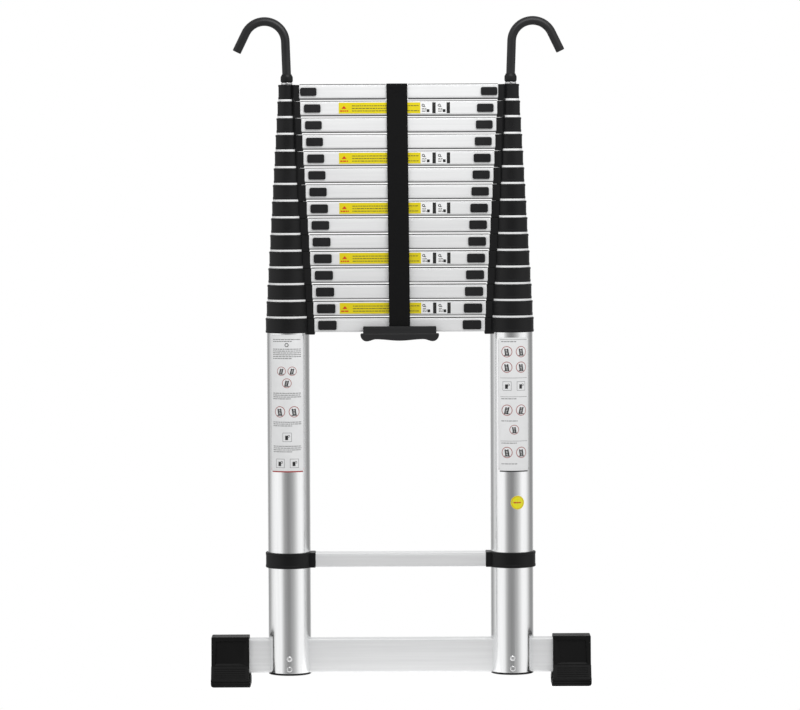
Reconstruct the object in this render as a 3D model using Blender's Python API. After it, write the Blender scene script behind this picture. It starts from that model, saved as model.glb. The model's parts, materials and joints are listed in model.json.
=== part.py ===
"""A folded telescoping extension ladder of nested sections, in metres, +Z up, with its front towards -Y.

Each section is a pair of tubes under a pair of collars, with a rung between the collars. The next
section slides out of its tubes. A fixed bottom rung, a stabilizer bar on two feet, two roof hooks and
a strap complete it.
"""

import math

import bmesh
import bpy
from mathutils import Matrix, Vector

# Driving dimensions
SECTION_COUNT = 15
TUBE_SPACING = 0.407
BOTTOM_TUBE_RADIUS = 0.039
TOP_TUBE_RADIUS = 0.0135
TUBE_WALL = 0.0012
TUBE_FOOT_Z = 0.021
LOWEST_RUNG_Z = 0.660
FOLDED_PITCH = 0.0303
EXTENDED_PITCH = 0.395
INNER_TUBE_LENGTH = 0.485

COLLAR_WALL = 0.0022
COLLAR_HALF_HEIGHT = 0.013
BLOCK_REACH = 0.010
BLOCK_INSET = 0.0025
BLOCK_HALF_DEPTH = 0.0195
BLOCK_TOP = 0.0126
BLOCK_DROP = 0.017

RUNG_HALF_DEPTH = 0.0185
RUNG_HALF_HEIGHT = 0.0125
RUNG_CHAMFER = 0.002
RUNG_WALL = 0.002

BUTTON_LENGTH = 0.029
BUTTON_HEIGHT = 0.014
BUTTON_THICKNESS = 0.0025
BUTTON_CORNER = 0.004
LOCKED_GAP = 0.001
HELD_BACK_GAP = 0.006
PIN_RADIUS = 0.003
PIN_BORE_RADIUS = 0.0036
NECK_LENGTH = 0.008
NECK_HEIGHT = 0.006

BOTTOM_RUNG_Z = 0.231
CLAMP_RADIUS = 0.044
CLAMP_HALF_HEIGHT = 0.014
CLAMP_REACH = 0.009
CLAMP_SPIGOT = 0.015

BAR_LOW_Z = 0.024
BAR_HIGH_Z = 0.086
BAR_HALF_DEPTH = 0.015
BAR_HALF_LENGTH = 0.340
BAR_WALL = 0.002
BOLT_Z = 0.047
BOLT_RADIUS = 0.003
BOLT_HEAD_RADIUS = 0.0055
BOLT_HEAD_THICKNESS = 0.003

FOOT_INNER_X = 0.2775
FOOT_OUTER_X = 0.3475
FOOT_TAPER = 0.003
FOOT_HEIGHT = 0.094
FOOT_HALF_DEPTH = 0.022
SOLE_THICKNESS = 0.014
SOLE_HALF_DEPTH = 0.036
SOLE_LIP = 0.004
FLANGE_TOP_Z = 0.0235

HOOK_ROD_RADIUS = 0.008
HOOK_FERRULE_RADIUS = 0.0105
HOOK_FERRULE_LOW_Z = 1.101
HOOK_FERRULE_HIGH_Z = 1.116
HOOK_PLUG_RADIUS = 0.0117
HOOK_GROOVE_RADIUS = 0.0088
HOOK_GROOVE_HALF_HEIGHT = 0.0044
HOOK_PLUG_BELOW_PIN = 0.0097
HOOK_BEND_Z = 1.176
HOOK_BEND_RADIUS = 0.038
HOOK_SWEEP = math.radians(152)
HOOK_TAIL = 0.041

STRAP_HALF_WIDTH = 0.019
STRAP_THICKNESS = 0.0016
STRAP_SLACK = 0.0004
STRAP_HINGE_GAP = 0.0006
HANDLE_TOP_Z = 0.658
HANDLE_HALF_WIDTH = 0.0715
HANDLE_PLATE_HALF_WIDTH = 0.0665
HANDLE_HEIGHT = 0.027
HANDLE_DEPTH = 0.016
HANDLE_BACK_Y = -0.0195

TUBE_SIDES = 20
ROD_SIDES = 12
SMALL_SIDES = 8
GAP = 0.0003
OVERLAP = 0.002
SMOOTH_ANGLE = math.radians(32)
SIDES = {"left": -1, "right": 1}
ORIGIN = Vector((0, 0, 0))

for leftover in list(bpy.data.objects):
    bpy.data.objects.remove(leftover)


def material(name, colour, roughness, metallic=0.0):
    made = bpy.data.materials.new(name)
    made.use_nodes = True
    shader = made.node_tree.nodes["Principled BSDF"]
    shader.inputs["Base Color"].default_value = (*colour, 1)
    shader.inputs["Roughness"].default_value = roughness
    shader.inputs["Metallic"].default_value = metallic
    return made


ALUMINIUM = material("satin_aluminium", (0.74, 0.75, 0.76), 0.35, 1.0)
BAR_ALUMINIUM = material("matt_aluminium", (0.68, 0.69, 0.70), 0.5, 1.0)
BLACK_PLASTIC = material("black_plastic", (0.025, 0.025, 0.027), 0.45)
BLACK_RUBBER = material("black_rubber", (0.022, 0.022, 0.022), 0.75)
STEEL = material("bright_steel", (0.62, 0.62, 0.63), 0.3, 1.0)
HOOK_COATING = material("black_coating", (0.02, 0.02, 0.022), 0.4)
WEBBING = material("black_webbing", (0.018, 0.018, 0.019), 0.9)
GRIP_PLASTIC = material("grey_black_plastic", (0.04, 0.04, 0.042), 0.5)


def tube_radius(section):
    share = (section - 1) / (SECTION_COUNT - 1)
    return BOTTOM_TUBE_RADIUS + share * (TOP_TUBE_RADIUS - BOTTOM_TUBE_RADIUS)


def rung_z(section):
    return LOWEST_RUNG_Z + (section - 1) * FOLDED_PITCH


def flat_distance(radius):
    """How far a tube's flats stand from its axis, its corners being at radius."""
    return radius * math.cos(math.pi / TUBE_SIDES)


def shape(mesh_builder):
    """A helper object from a function that fills a bmesh."""
    bm = bmesh.new()
    mesh_builder(bm)
    bmesh.ops.recalc_face_normals(bm, faces=bm.faces)
    mesh = bpy.data.meshes.new("helper")
    bm.to_mesh(mesh)
    bm.free()
    helper = bpy.data.objects.new("helper", mesh)
    helper.hide_render = True
    helper.display_type = "WIRE"
    bpy.context.scene.collection.objects.link(helper)
    return helper


def box(x_range, y_range, z_range):
    low = Vector([min(ends) for ends in (x_range, y_range, z_range)])
    high = Vector([max(ends) for ends in (x_range, y_range, z_range)])

    def build(bm):
        cube = bmesh.ops.create_cube(bm, size=1)["verts"]
        bmesh.ops.scale(bm, vec=high - low, verts=cube)
        bmesh.ops.translate(bm, vec=(low + high) / 2, verts=cube)

    return shape(build)


def swept(stations, sides):
    """A round bar through stations of (centre, direction, radius). It bends only in the XZ plane."""

    def build(bm):
        rings = []
        for centre, direction, radius in stations:
            across = Vector((0, 1, 0)) if abs(direction[1]) < 0.5 else Vector((1, 0, 0))
            up = Vector(direction).normalized().cross(across)
            angles = [math.tau * (i + 0.5) / sides for i in range(sides)]
            rings.append([
                bm.verts.new(Vector(centre) + radius * (math.sin(a) * across + math.cos(a) * up))
                for a in angles
            ])
        for low, high in zip(rings, rings[1:]):
            for i in range(sides):
                j = (i + 1) % sides
                bm.faces.new((low[i], low[j], high[j], high[i]))
        bm.faces.new(rings[0])
        bm.faces.new(rings[-1])

    return shape(build)


def upright(x, radius, low, high, sides=TUBE_SIDES):
    return swept([((x, 0, low), (0, 0, 1), radius), ((x, 0, high), (0, 0, 1), radius)], sides)


def crossways(x_low, x_high, z, radius):
    return swept([((x_low, 0, z), (1, 0, 0), radius), ((x_high, 0, z), (1, 0, 0), radius)], SMALL_SIDES)


def prism(outline, axis, low, high, corner=0.0, corner_points=()):
    """An outline extruded along axis "X" or "Y". The corners named in corner_points are rounded."""
    place = {
        "X": lambda along, a, b: (along, a, b),
        "Y": lambda along, a, b: (a, along, b),
    }[axis]

    def build(bm):
        face = bm.faces.new([bm.verts.new(place(low, a, b)) for a, b in outline])
        rounded = [face.verts[i] for i in corner_points]
        if corner:
            bmesh.ops.bevel(bm, geom=rounded, offset=corner, segments=2, profile=0.5, affect="VERTICES")
        pushed = bmesh.ops.extrude_face_region(bm, geom=list(bm.faces))["geom"]
        moved = [v for v in pushed if isinstance(v, bmesh.types.BMVert)]
        bmesh.ops.translate(bm, vec=Vector(place(high - low, 0, 0)), verts=moved)

    return shape(build)


def finished(name, base, surface, origin=ORIGIN, adds=(), cuts=()):
    """base with the adds joined to it and the cuts taken away, as the node called name."""
    for operation, helpers in (("UNION", adds), ("DIFFERENCE", cuts)):
        for helper in helpers:
            modifier = base.modifiers.new(operation, "BOOLEAN")
            modifier.operation = operation
            modifier.object = helper
    graph = bpy.context.evaluated_depsgraph_get()
    mesh = bpy.data.meshes.new_from_object(base.evaluated_get(graph))
    for helper in (base, *adds, *cuts):
        bpy.data.objects.remove(helper)
    mesh.name = name
    mesh.materials.clear()
    mesh.materials.append(surface)
    mesh.transform(Matrix.Translation(-Vector(origin)))
    mesh.shade_smooth()
    mesh.set_sharp_from_angle(angle=SMOOTH_ANGLE)
    node = bpy.data.objects.new(name, mesh)
    node.location = origin
    bpy.context.scene.collection.objects.link(node)
    return node


def rung_outline(z, inset=0.0, chamfer=RUNG_CHAMFER):
    y = RUNG_HALF_DEPTH - inset
    h = RUNG_HALF_HEIGHT - inset
    c = chamfer
    return [
        (-y, z - h + c), (-y + c, z - h), (y - c, z - h), (y, z - h + c),
        (y, z + h - c), (y - c, z + h), (-y + c, z + h), (-y, z + h - c),
    ]


def block_edge(section):
    """Distance from a tube's axis to the face of the collar block that holds the rung."""
    return tube_radius(section) + BLOCK_REACH


def button_gap(section):
    """The top pins sit in the hooks' grooves. Those below are held back by the folded tube inside them."""
    return LOCKED_GAP if section == SECTION_COUNT else HELD_BACK_GAP


def pin_tip(section):
    """Distance from the tube's axis to the end of its lock pin."""
    if section == SECTION_COUNT:
        return HOOK_GROOVE_RADIUS + 0.0004
    return flat_distance(tube_radius(section + 1)) + 0.0004


def button_centre(section):
    return block_edge(section) + button_gap(section) + BUTTON_LENGTH / 2


def section_side(section, side):
    """The solids to join and to cut for one side of a section."""
    radius = tube_radius(section)
    z = rung_z(section)
    x = side * TUBE_SPACING / 2
    inward = -side
    lowest = section == 1
    rung_end = x + inward * block_edge(section)
    foot = TUBE_FOOT_Z if lowest else z + COLLAR_HALF_HEIGHT - INNER_TUBE_LENGTH
    adds = [
        upright(x, radius + COLLAR_WALL, z - COLLAR_HALF_HEIGHT, z + COLLAR_HALF_HEIGHT),
        box(
            (x + inward * (radius - BLOCK_INSET), rung_end),
            (-BLOCK_HALF_DEPTH, BLOCK_HALF_DEPTH),
            (z - BLOCK_DROP, z + BLOCK_TOP),
        ),
        upright(x, radius, foot, z),
    ]
    slot_reach = NECK_LENGTH / 2 + HELD_BACK_GAP - LOCKED_GAP + GAP
    button_x = x + inward * button_centre(section)
    cuts = [
        upright(x, radius - TUBE_WALL, foot - OVERLAP, z + COLLAR_HALF_HEIGHT + OVERLAP),
        crossways(x + inward * radius / 2, rung_end + inward * OVERLAP, z, PIN_BORE_RADIUS),
        box(
            (button_x - slot_reach, button_x + slot_reach),
            (-RUNG_HALF_DEPTH - OVERLAP, -RUNG_HALF_DEPTH + RUNG_WALL + OVERLAP),
            (z - NECK_HEIGHT / 2 - GAP, z + NECK_HEIGHT / 2 + GAP),
        ),
    ]
    if lowest:
        cuts += stabilizer_cuts(x)
    else:
        lock_z = z - EXTENDED_PITCH
        wall = (x + inward * radius / 2, x + inward * (radius + OVERLAP))
        cuts.append(crossways(*wall, lock_z, PIN_BORE_RADIUS))
    return adds, cuts


def bolt_hole(x, half_reach):
    ends = [((x, y, BOLT_Z), (0, 1, 0), PIN_BORE_RADIUS) for y in (-half_reach, half_reach)]
    return swept(ends, SMALL_SIDES)


def stabilizer_cuts(x):
    """The window for the stabilizer bar and the bolt's hole through the foot of a lowest tube."""
    reach = BOTTOM_TUBE_RADIUS + OVERLAP
    window = box(
        (x - reach, x + reach),
        (-BAR_HALF_DEPTH - GAP, BAR_HALF_DEPTH + GAP),
        (BAR_LOW_Z - GAP, BAR_HIGH_Z + GAP),
    )
    return [window, bolt_hole(x, reach)]


def make_section(section):
    z = rung_z(section)
    half_length = TUBE_SPACING / 2 - block_edge(section)
    rung = prism(rung_outline(z), "X", -half_length - OVERLAP, half_length + OVERLAP)
    hollow = prism(rung_outline(z, RUNG_WALL, RUNG_CHAMFER / 2), "X", -half_length, half_length)
    adds, cuts = [], [hollow]
    for side in SIDES.values():
        side_adds, side_cuts = section_side(section, side)
        adds += side_adds
        cuts += side_cuts
    return finished(f"section_{section:02d}", rung, ALUMINIUM, (0, 0, z), adds, cuts)


def make_button(section, side_name):
    """A thumb plate on the rung's front, its neck through the slot, and its pin in the rung to the tube."""
    side = SIDES[side_name]
    inward = -side
    z = rung_z(section)
    x = side * TUBE_SPACING / 2
    centre = x + inward * button_centre(section)
    near = centre - inward * BUTTON_LENGTH / 2
    far = centre + inward * BUTTON_LENGTH / 2
    half = BUTTON_HEIGHT / 2
    outline = [(near, z - half), (near, z + half), (far, z + half), (far, z - half)]
    back = -RUNG_HALF_DEPTH - GAP
    plate = prism(outline, "Y", back - BUTTON_THICKNESS, back, BUTTON_CORNER, (2, 3))
    neck = box(
        (centre - NECK_LENGTH / 2, centre + NECK_LENGTH / 2),
        (back - BUTTON_THICKNESS / 2, PIN_RADIUS / 2),
        (z - NECK_HEIGHT / 2, z + NECK_HEIGHT / 2),
    )
    pin = crossways(x + inward * pin_tip(section), centre, z, PIN_RADIUS)
    origin = (centre, 0, z)
    return finished(f"lock_button_{side_name}_{section:02d}", plate, BLACK_PLASTIC, origin, [neck, pin])


def make_bottom_rung():
    half_length = TUBE_SPACING / 2 - BOTTOM_TUBE_RADIUS - CLAMP_REACH - GAP
    rung = prism(rung_outline(BOTTOM_RUNG_Z), "X", -half_length, half_length)
    inside = rung_outline(BOTTOM_RUNG_Z, RUNG_WALL, RUNG_CHAMFER / 2)
    hollow = prism(inside, "X", -half_length - OVERLAP, half_length + OVERLAP)
    return finished("bottom_rung", rung, ALUMINIUM, (0, 0, BOTTOM_RUNG_Z), cuts=[hollow])


def make_clamp(side_name):
    side = SIDES[side_name]
    inward = -side
    x = side * TUBE_SPACING / 2
    low, high = BOTTOM_RUNG_Z - CLAMP_HALF_HEIGHT, BOTTOM_RUNG_Z + CLAMP_HALF_HEIGHT
    face = x + inward * (BOTTOM_TUBE_RADIUS + CLAMP_REACH)
    block = box(
        (x + inward * (BOTTOM_TUBE_RADIUS - BLOCK_INSET), face),
        (-BLOCK_HALF_DEPTH, BLOCK_HALF_DEPTH),
        (low + GAP, high - GAP),
    )
    spigot = prism(
        rung_outline(BOTTOM_RUNG_Z, RUNG_WALL + GAP, RUNG_CHAMFER),
        "X",
        *sorted((face - inward * OVERLAP, face + inward * CLAMP_SPIGOT)),
    )
    bore = upright(x, BOTTOM_TUBE_RADIUS + GAP, low - OVERLAP, high + OVERLAP)
    ring = upright(x, CLAMP_RADIUS, low, high)
    name = f"bottom_rung_clamp_{side_name}"
    return finished(name, ring, BLACK_PLASTIC, (x, 0, BOTTOM_RUNG_Z), [block, spigot], [bore])


def make_stabilizer_bar():
    def tube(inset, half_length):
        return box(
            (-half_length, half_length),
            (-BAR_HALF_DEPTH + inset, BAR_HALF_DEPTH - inset),
            (BAR_LOW_Z + inset, BAR_HIGH_Z - inset),
        )

    hollow = tube(BAR_WALL, BAR_HALF_LENGTH + OVERLAP)
    holes = [bolt_hole(side * TUBE_SPACING / 2, BAR_HALF_DEPTH + OVERLAP) for side in SIDES.values()]
    return finished("stabilizer_bar", tube(0, BAR_HALF_LENGTH), BAR_ALUMINIUM, cuts=[hollow, *holes])


def make_foot(side_name):
    """A rubber boot over the end of the stabilizer bar, on a wide sole, with a flange under the bar."""
    side = SIDES[side_name]
    inner, outer = side * FOOT_INNER_X, side * FOOT_OUTER_X
    outline = [
        (inner, SOLE_THICKNESS / 2),
        (outer, SOLE_THICKNESS / 2),
        (outer - side * FOOT_TAPER, FOOT_HEIGHT),
        (inner, FOOT_HEIGHT),
    ]
    body = prism(outline, "Y", -FOOT_HALF_DEPTH, FOOT_HALF_DEPTH)
    sole = box(
        (inner - side * SOLE_LIP, outer),
        (-SOLE_HALF_DEPTH, SOLE_HALF_DEPTH),
        (0, SOLE_THICKNESS),
    )
    flange = box(
        (inner - side * SOLE_LIP, inner + side * OVERLAP),
        (-FOOT_HALF_DEPTH, FOOT_HALF_DEPTH),
        (SOLE_THICKNESS / 2, FLANGE_TOP_Z),
    )
    pocket = box(
        (inner - side * (SOLE_LIP + OVERLAP), side * (BAR_HALF_LENGTH + GAP)),
        (-BAR_HALF_DEPTH - GAP, BAR_HALF_DEPTH + GAP),
        (BAR_LOW_Z - GAP, BAR_HIGH_Z + GAP),
    )
    return finished(f"foot_{side_name}", body, BLACK_RUBBER, (inner, 0, 0), [sole, flange], [pocket])


def make_stabilizer_bolt(side_name):
    x = SIDES[side_name] * TUBE_SPACING / 2
    seat = flat_distance(BOTTOM_TUBE_RADIUS) + GAP
    end = seat + BOLT_HEAD_THICKNESS
    stations = [
        (-end, BOLT_HEAD_RADIUS * 0.8),
        (-end + BOLT_HEAD_THICKNESS / 2, BOLT_HEAD_RADIUS),
        (-seat, BOLT_HEAD_RADIUS),
        (-seat + GAP, BOLT_RADIUS),
        (seat - GAP, BOLT_RADIUS),
        (seat, BOLT_HEAD_RADIUS),
        (end, BOLT_HEAD_RADIUS),
    ]
    bolt = swept([((x, y, BOLT_Z), (0, 1, 0), radius) for y, radius in stations], SMALL_SIDES)
    return finished(f"stabilizer_bolt_{side_name}", bolt, STEEL, (x, 0, BOLT_Z))


def make_tube_plug(side_name):
    """A rimmed plug that closes the foot of a lowest tube, under the stabilizer bar."""
    x = SIDES[side_name] * TUBE_SPACING / 2
    seat = TUBE_FOOT_Z - GAP
    spigot_radius = BOTTOM_TUBE_RADIUS - TUBE_WALL - GAP
    stations = [
        (seat - 0.0035, BOTTOM_TUBE_RADIUS - 0.001),
        (seat - 0.0025, BOTTOM_TUBE_RADIUS),
        (seat, BOTTOM_TUBE_RADIUS),
        (seat + GAP / 2, spigot_radius),
        (BAR_LOW_Z - GAP, spigot_radius),
    ]
    plug = swept([((x, 0, z), (0, 0, 1), radius) for z, radius in stations], TUBE_SIDES)
    return finished(f"tube_plug_{side_name}", plug, BLACK_PLASTIC, (x, 0, seat))


def make_hook(side_name):
    """A bent rod on a turned bearing plug, whose groove takes the top section's lock pins."""
    side = SIDES[side_name]
    x = side * TUBE_SPACING / 2
    pin_z = rung_z(SECTION_COUNT)
    collar_top = pin_z + COLLAR_HALF_HEIGHT
    groove = HOOK_GROOVE_HALF_HEIGHT
    turned = [
        (pin_z - HOOK_PLUG_BELOW_PIN, HOOK_PLUG_RADIUS),
        (pin_z - groove, HOOK_PLUG_RADIUS),
        (pin_z - groove + GAP, HOOK_GROOVE_RADIUS),
        (pin_z + groove - GAP, HOOK_GROOVE_RADIUS),
        (pin_z + groove, HOOK_PLUG_RADIUS),
        (collar_top + GAP, HOOK_PLUG_RADIUS),
        (collar_top + 2 * GAP, HOOK_FERRULE_RADIUS - 0.001),
        (HOOK_FERRULE_LOW_Z, HOOK_FERRULE_RADIUS - 0.001),
        (HOOK_FERRULE_LOW_Z + GAP, HOOK_FERRULE_RADIUS),
        (HOOK_FERRULE_HIGH_Z - 0.001, HOOK_FERRULE_RADIUS),
        (HOOK_FERRULE_HIGH_Z, HOOK_FERRULE_RADIUS - 0.001),
        (HOOK_FERRULE_HIGH_Z + GAP, HOOK_ROD_RADIUS),
    ]
    stations = [((x, 0, z), (0, 0, 1), radius) for z, radius in turned]
    steps = 9
    for step in range(steps + 1):
        angle = HOOK_SWEEP * step / steps
        out = side * (1 - math.cos(angle)) * HOOK_BEND_RADIUS
        centre = Vector((x + out, 0, HOOK_BEND_Z + HOOK_BEND_RADIUS * math.sin(angle)))
        direction = Vector((side * math.sin(angle), 0, math.cos(angle)))
        stations.append((centre, direction, HOOK_ROD_RADIUS))
    tip = centre + direction * HOOK_TAIL
    stations.append((tip - direction * 0.002, direction, HOOK_ROD_RADIUS))
    stations.append((tip, direction, HOOK_ROD_RADIUS - 0.002))
    rod = swept(stations, ROD_SIDES)
    return finished(f"hook_{side_name}", rod, HOOK_COATING, (x, 0, HOOK_FERRULE_LOW_Z))


def strap_hinge():
    """(y, z) of the line about which the strap swings, just under its eye."""
    y = -RUNG_HALF_DEPTH - STRAP_SLACK - STRAP_THICKNESS / 2
    z = rung_z(SECTION_COUNT) - RUNG_HALF_HEIGHT - STRAP_SLACK - STRAP_THICKNESS - STRAP_HINGE_GAP
    return y, z


def handle_hinge():
    """(y, z) of the line about which the handle tilts, just over its top."""
    return HANDLE_BACK_Y - HANDLE_DEPTH / 2, HANDLE_TOP_Z + 0.0005


def make_strap_eye():
    """The sewn loop of webbing round the top rung."""
    z = rung_z(SECTION_COUNT)

    def sleeve(grow, half_width):
        return prism(
            rung_outline(z, -grow, RUNG_CHAMFER), "X", -half_width, half_width
        )

    inside = sleeve(STRAP_SLACK, STRAP_HALF_WIDTH + OVERLAP)
    outside = sleeve(STRAP_SLACK + STRAP_THICKNESS, STRAP_HALF_WIDTH)
    return finished("strap_eye", outside, WEBBING, (0, 0, z), cuts=[inside])


def make_strap():
    """The hanging run of webbing, which leans forward a little to the middle of the handle's top."""
    top_y, top_z = strap_hinge()
    end_y, end_z = handle_hinge()
    half = STRAP_THICKNESS / 2
    low, high = end_z + STRAP_HINGE_GAP, top_z - STRAP_HINGE_GAP
    outline = [(end_y - half, low), (end_y + half, low), (top_y + half, high), (top_y - half, high)]
    run = prism(outline, "X", -STRAP_HALF_WIDTH, STRAP_HALF_WIDTH)
    return finished("strap", run, WEBBING, (0, top_y, top_z))


def make_carry_handle():
    """A T-shaped grip: a flat top, flared lobes at the ends and finger waves under it."""
    top, low = HANDLE_TOP_Z, HANDLE_TOP_Z - HANDLE_HEIGHT
    waves = 12
    outline = [(-HANDLE_PLATE_HALF_WIDTH, top), (-HANDLE_HALF_WIDTH, low + 0.010)]
    for step in range(waves + 1):
        share = -1 + 2 * step / waves
        rise = 0.0035 * (1 - math.cos(2 * math.pi * share)) / 2
        outline.append((share * (HANDLE_HALF_WIDTH - 0.005), low + rise))
    outline += [(HANDLE_HALF_WIDTH, low + 0.010), (HANDLE_PLATE_HALF_WIDTH, top)]
    grip = prism(outline, "Y", HANDLE_BACK_Y - HANDLE_DEPTH, HANDLE_BACK_Y)
    y, z = handle_hinge()
    return finished("carry_handle", grip, GRIP_PLASTIC, (0, y, z))


def attach(child, parent):
    child.parent = parent
    child.matrix_parent_inverse = parent.matrix_world.inverted()


def main():
    sections = [make_section(number) for number in range(1, SECTION_COUNT + 1)]
    buttons = [
        (make_button(number, side_name), sections[number - 1])
        for number in range(1, SECTION_COUNT + 1)
        for side_name in SIDES
    ]
    base, top = sections[0], sections[-1]
    fixed = [make_bottom_rung(), make_stabilizer_bar()]
    for side_name in SIDES:
        fixed += [
            make_clamp(side_name),
            make_foot(side_name),
            make_stabilizer_bolt(side_name),
            make_tube_plug(side_name),
        ]
    hooks = [make_hook(side_name) for side_name in SIDES]
    eye, strap, handle = make_strap_eye(), make_strap(), make_carry_handle()
    bpy.context.view_layer.update()
    for child, parent in zip(sections[1:], sections):
        attach(child, parent)
    for child, parent in buttons:
        attach(child, parent)
    for child in fixed:
        attach(child, base)
    for child in (*hooks, eye, strap):
        attach(child, top)
    attach(handle, strap)


main()
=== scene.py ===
"""Looks of the folded telescoping extension ladder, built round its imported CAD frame. Metres, +Z up, front -Y."""

from itertools import combinations
import json
import math

import bmesh
import bpy
from mathutils import Matrix, Vector

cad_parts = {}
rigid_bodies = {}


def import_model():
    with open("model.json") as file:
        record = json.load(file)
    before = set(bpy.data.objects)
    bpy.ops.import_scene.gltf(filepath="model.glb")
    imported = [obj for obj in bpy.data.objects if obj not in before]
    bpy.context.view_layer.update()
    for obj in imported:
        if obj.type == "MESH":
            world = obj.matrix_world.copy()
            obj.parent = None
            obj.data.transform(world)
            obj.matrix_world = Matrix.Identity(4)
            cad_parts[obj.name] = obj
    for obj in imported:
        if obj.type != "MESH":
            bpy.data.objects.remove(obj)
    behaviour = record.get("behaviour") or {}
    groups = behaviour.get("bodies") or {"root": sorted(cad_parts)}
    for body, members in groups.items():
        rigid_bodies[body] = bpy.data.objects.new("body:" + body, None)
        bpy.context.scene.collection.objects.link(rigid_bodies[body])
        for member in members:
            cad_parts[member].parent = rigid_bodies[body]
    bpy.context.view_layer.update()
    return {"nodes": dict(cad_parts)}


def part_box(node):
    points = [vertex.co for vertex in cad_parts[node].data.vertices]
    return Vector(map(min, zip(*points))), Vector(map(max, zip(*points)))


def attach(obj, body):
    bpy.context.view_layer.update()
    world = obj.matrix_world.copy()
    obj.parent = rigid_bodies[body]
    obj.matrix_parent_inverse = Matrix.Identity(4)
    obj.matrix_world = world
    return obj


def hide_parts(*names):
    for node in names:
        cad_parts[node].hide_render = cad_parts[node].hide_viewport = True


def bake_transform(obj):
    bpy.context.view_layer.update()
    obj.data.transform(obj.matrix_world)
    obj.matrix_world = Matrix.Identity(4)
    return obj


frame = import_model()

# Sizes that the frame doesn't hold, in metres
SECTION_COUNT = 15
CAD_TUBE_SIDES = 20
TUBE_WALL = 0.0012
COLLAR_WALL = 0.0022
COLLAR_HALF_HEIGHT = 0.013
COLLAR_DROP = 0.0007
BLOCK_REACH = 0.010
BLOCK_INSET = 0.0025
NARROW_RING = 0.0165
BLOCK_HALF_DEPTH = 0.0195
BLOCK_TOP = 0.0126
BLOCK_DROP = 0.017
EXTENDED_PITCH = 0.395
PIN_RADIUS = 0.003
PIN_BORE_RADIUS = 0.0036
ROUND = 72
SIDES = {"left": -1, "right": 1}

SECTIONS = range(1, SECTION_COUNT + 1)
TUBE_X = sum(c.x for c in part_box("tube_plug_right")) / 2


def body_of_section(section):
    return "base" if section == 1 else f"section_{section:02d}"


def section_box(section):
    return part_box(f"section_{section:02d}")


def rung_z(section):
    return section_box(section)[1].z - COLLAR_HALF_HEIGHT


def tube_radius(section):
    """The CAD collar is a polygon with flats at its sides, so its corner radius is a little more than its reach."""
    flat = section_box(section)[1].x - TUBE_X
    return flat / math.cos(math.pi / CAD_TUBE_SIDES) - COLLAR_WALL


# Materials


def set_inputs(tree, node, inputs):
    """Wires each input to the output given for it, or sets it to the number or colour given."""
    for name, value in inputs.items():
        if isinstance(value, bpy.types.NodeSocket):
            tree.links.new(value, node.inputs[name])
        else:
            node.inputs[name].default_value = value


def add_node(tree, kind, inputs, output, **settings):
    """Adds a shader node and returns the output asked for."""
    node = tree.nodes.new("ShaderNode" + kind)
    for name, value in settings.items():
        setattr(node, name, value)
    set_inputs(tree, node, inputs)
    return node.outputs[output]


def new_material(name):
    made = bpy.data.materials.new(name)
    made.use_nodes = True
    return made, made.node_tree


def noise(tree, scale, detail, stretch=(1, 1, 1)):
    """Noise over the object's own coordinates, stretched along an axis."""
    place = add_node(tree, "TexCoord", {}, "Object")
    stretched = add_node(tree, "Mapping", {"Vector": place, "Scale": stretch}, "Vector")
    return add_node(tree, "TexNoise", {"Vector": stretched, "Scale": scale, "Detail": detail}, "Fac")


def ramp(tree, source, low, high):
    """A colour from low to high by the middle part of a noise."""
    node = tree.nodes.new("ShaderNodeValToRGB")
    for element, position, colour in zip(node.color_ramp.elements, (0.3, 0.7), (low, high)):
        element.position, element.color = position, (*colour, 1)
    tree.links.new(source, node.inputs["Fac"])
    return node.outputs["Color"]


def finish_material(tree, inputs, height=None, strength=0.0, distance=0.0002):
    """Sets the shader's inputs, with height as a bump."""
    if height:
        bump = {"Height": height, "Strength": strength, "Distance": distance}
        inputs["Normal"] = add_node(tree, "Bump", bump, "Normal")
    set_inputs(tree, tree.nodes["Principled BSDF"], inputs)


def metal(name, low, high, rough, stretch, metallic=1.0, strength=0.12):
    """Drawn or extruded metal, with fine streaks along one axis in colour and height, and clouds in roughness."""
    made, tree = new_material(name)
    streaks = noise(tree, 240.0, 4.0, stretch)
    clouds = noise(tree, 9.0, 3.0)
    finish_material(tree, {
        "Base Color": ramp(tree, streaks, low, high),
        "Roughness": ramp(tree, clouds, *((level,) * 3 for level in rough)),
        "Metallic": metallic,
    }, streaks, strength)
    return made


def moulded(name, low, high, rough, specular):
    """Moulded plastic or rubber, with a fine spark-eroded grain and slightly uneven sheen."""
    made, tree = new_material(name)
    clouds = noise(tree, 14.0, 4.0)
    finish_material(tree, {
        "Base Color": ramp(tree, clouds, low, high),
        "Roughness": ramp(tree, clouds, *((level,) * 3 for level in rough)),
        "Specular IOR Level": specular,
    }, noise(tree, 900.0, 2.0), 0.25)
    return made


def woven(name, low, high):
    """Ribbed polyester webbing: short yarn floats across the strap between its ribs."""
    made, tree = new_material(name)
    yarns = noise(tree, 1.0, 2.0, (420, 900, 1500))
    finish_material(tree, {
        "Base Color": ramp(tree, yarns, low, high), "Roughness": 0.85, "Sheen Weight": 0.05, "Sheen Roughness": 0.5,
        "Specular IOR Level": 0.2,
    }, noise(tree, 2600.0, 3.0), 0.35, 0.0003)
    return made


def printed(name, colour):
    """Printed sticker film, with faint mottling."""
    made, tree = new_material(name)
    clouds = noise(tree, 60.0, 3.0)
    finish_material(tree, {"Base Color": ramp(tree, clouds, [c * 0.95 for c in colour], colour), "Roughness": 0.35})
    return made


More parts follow.
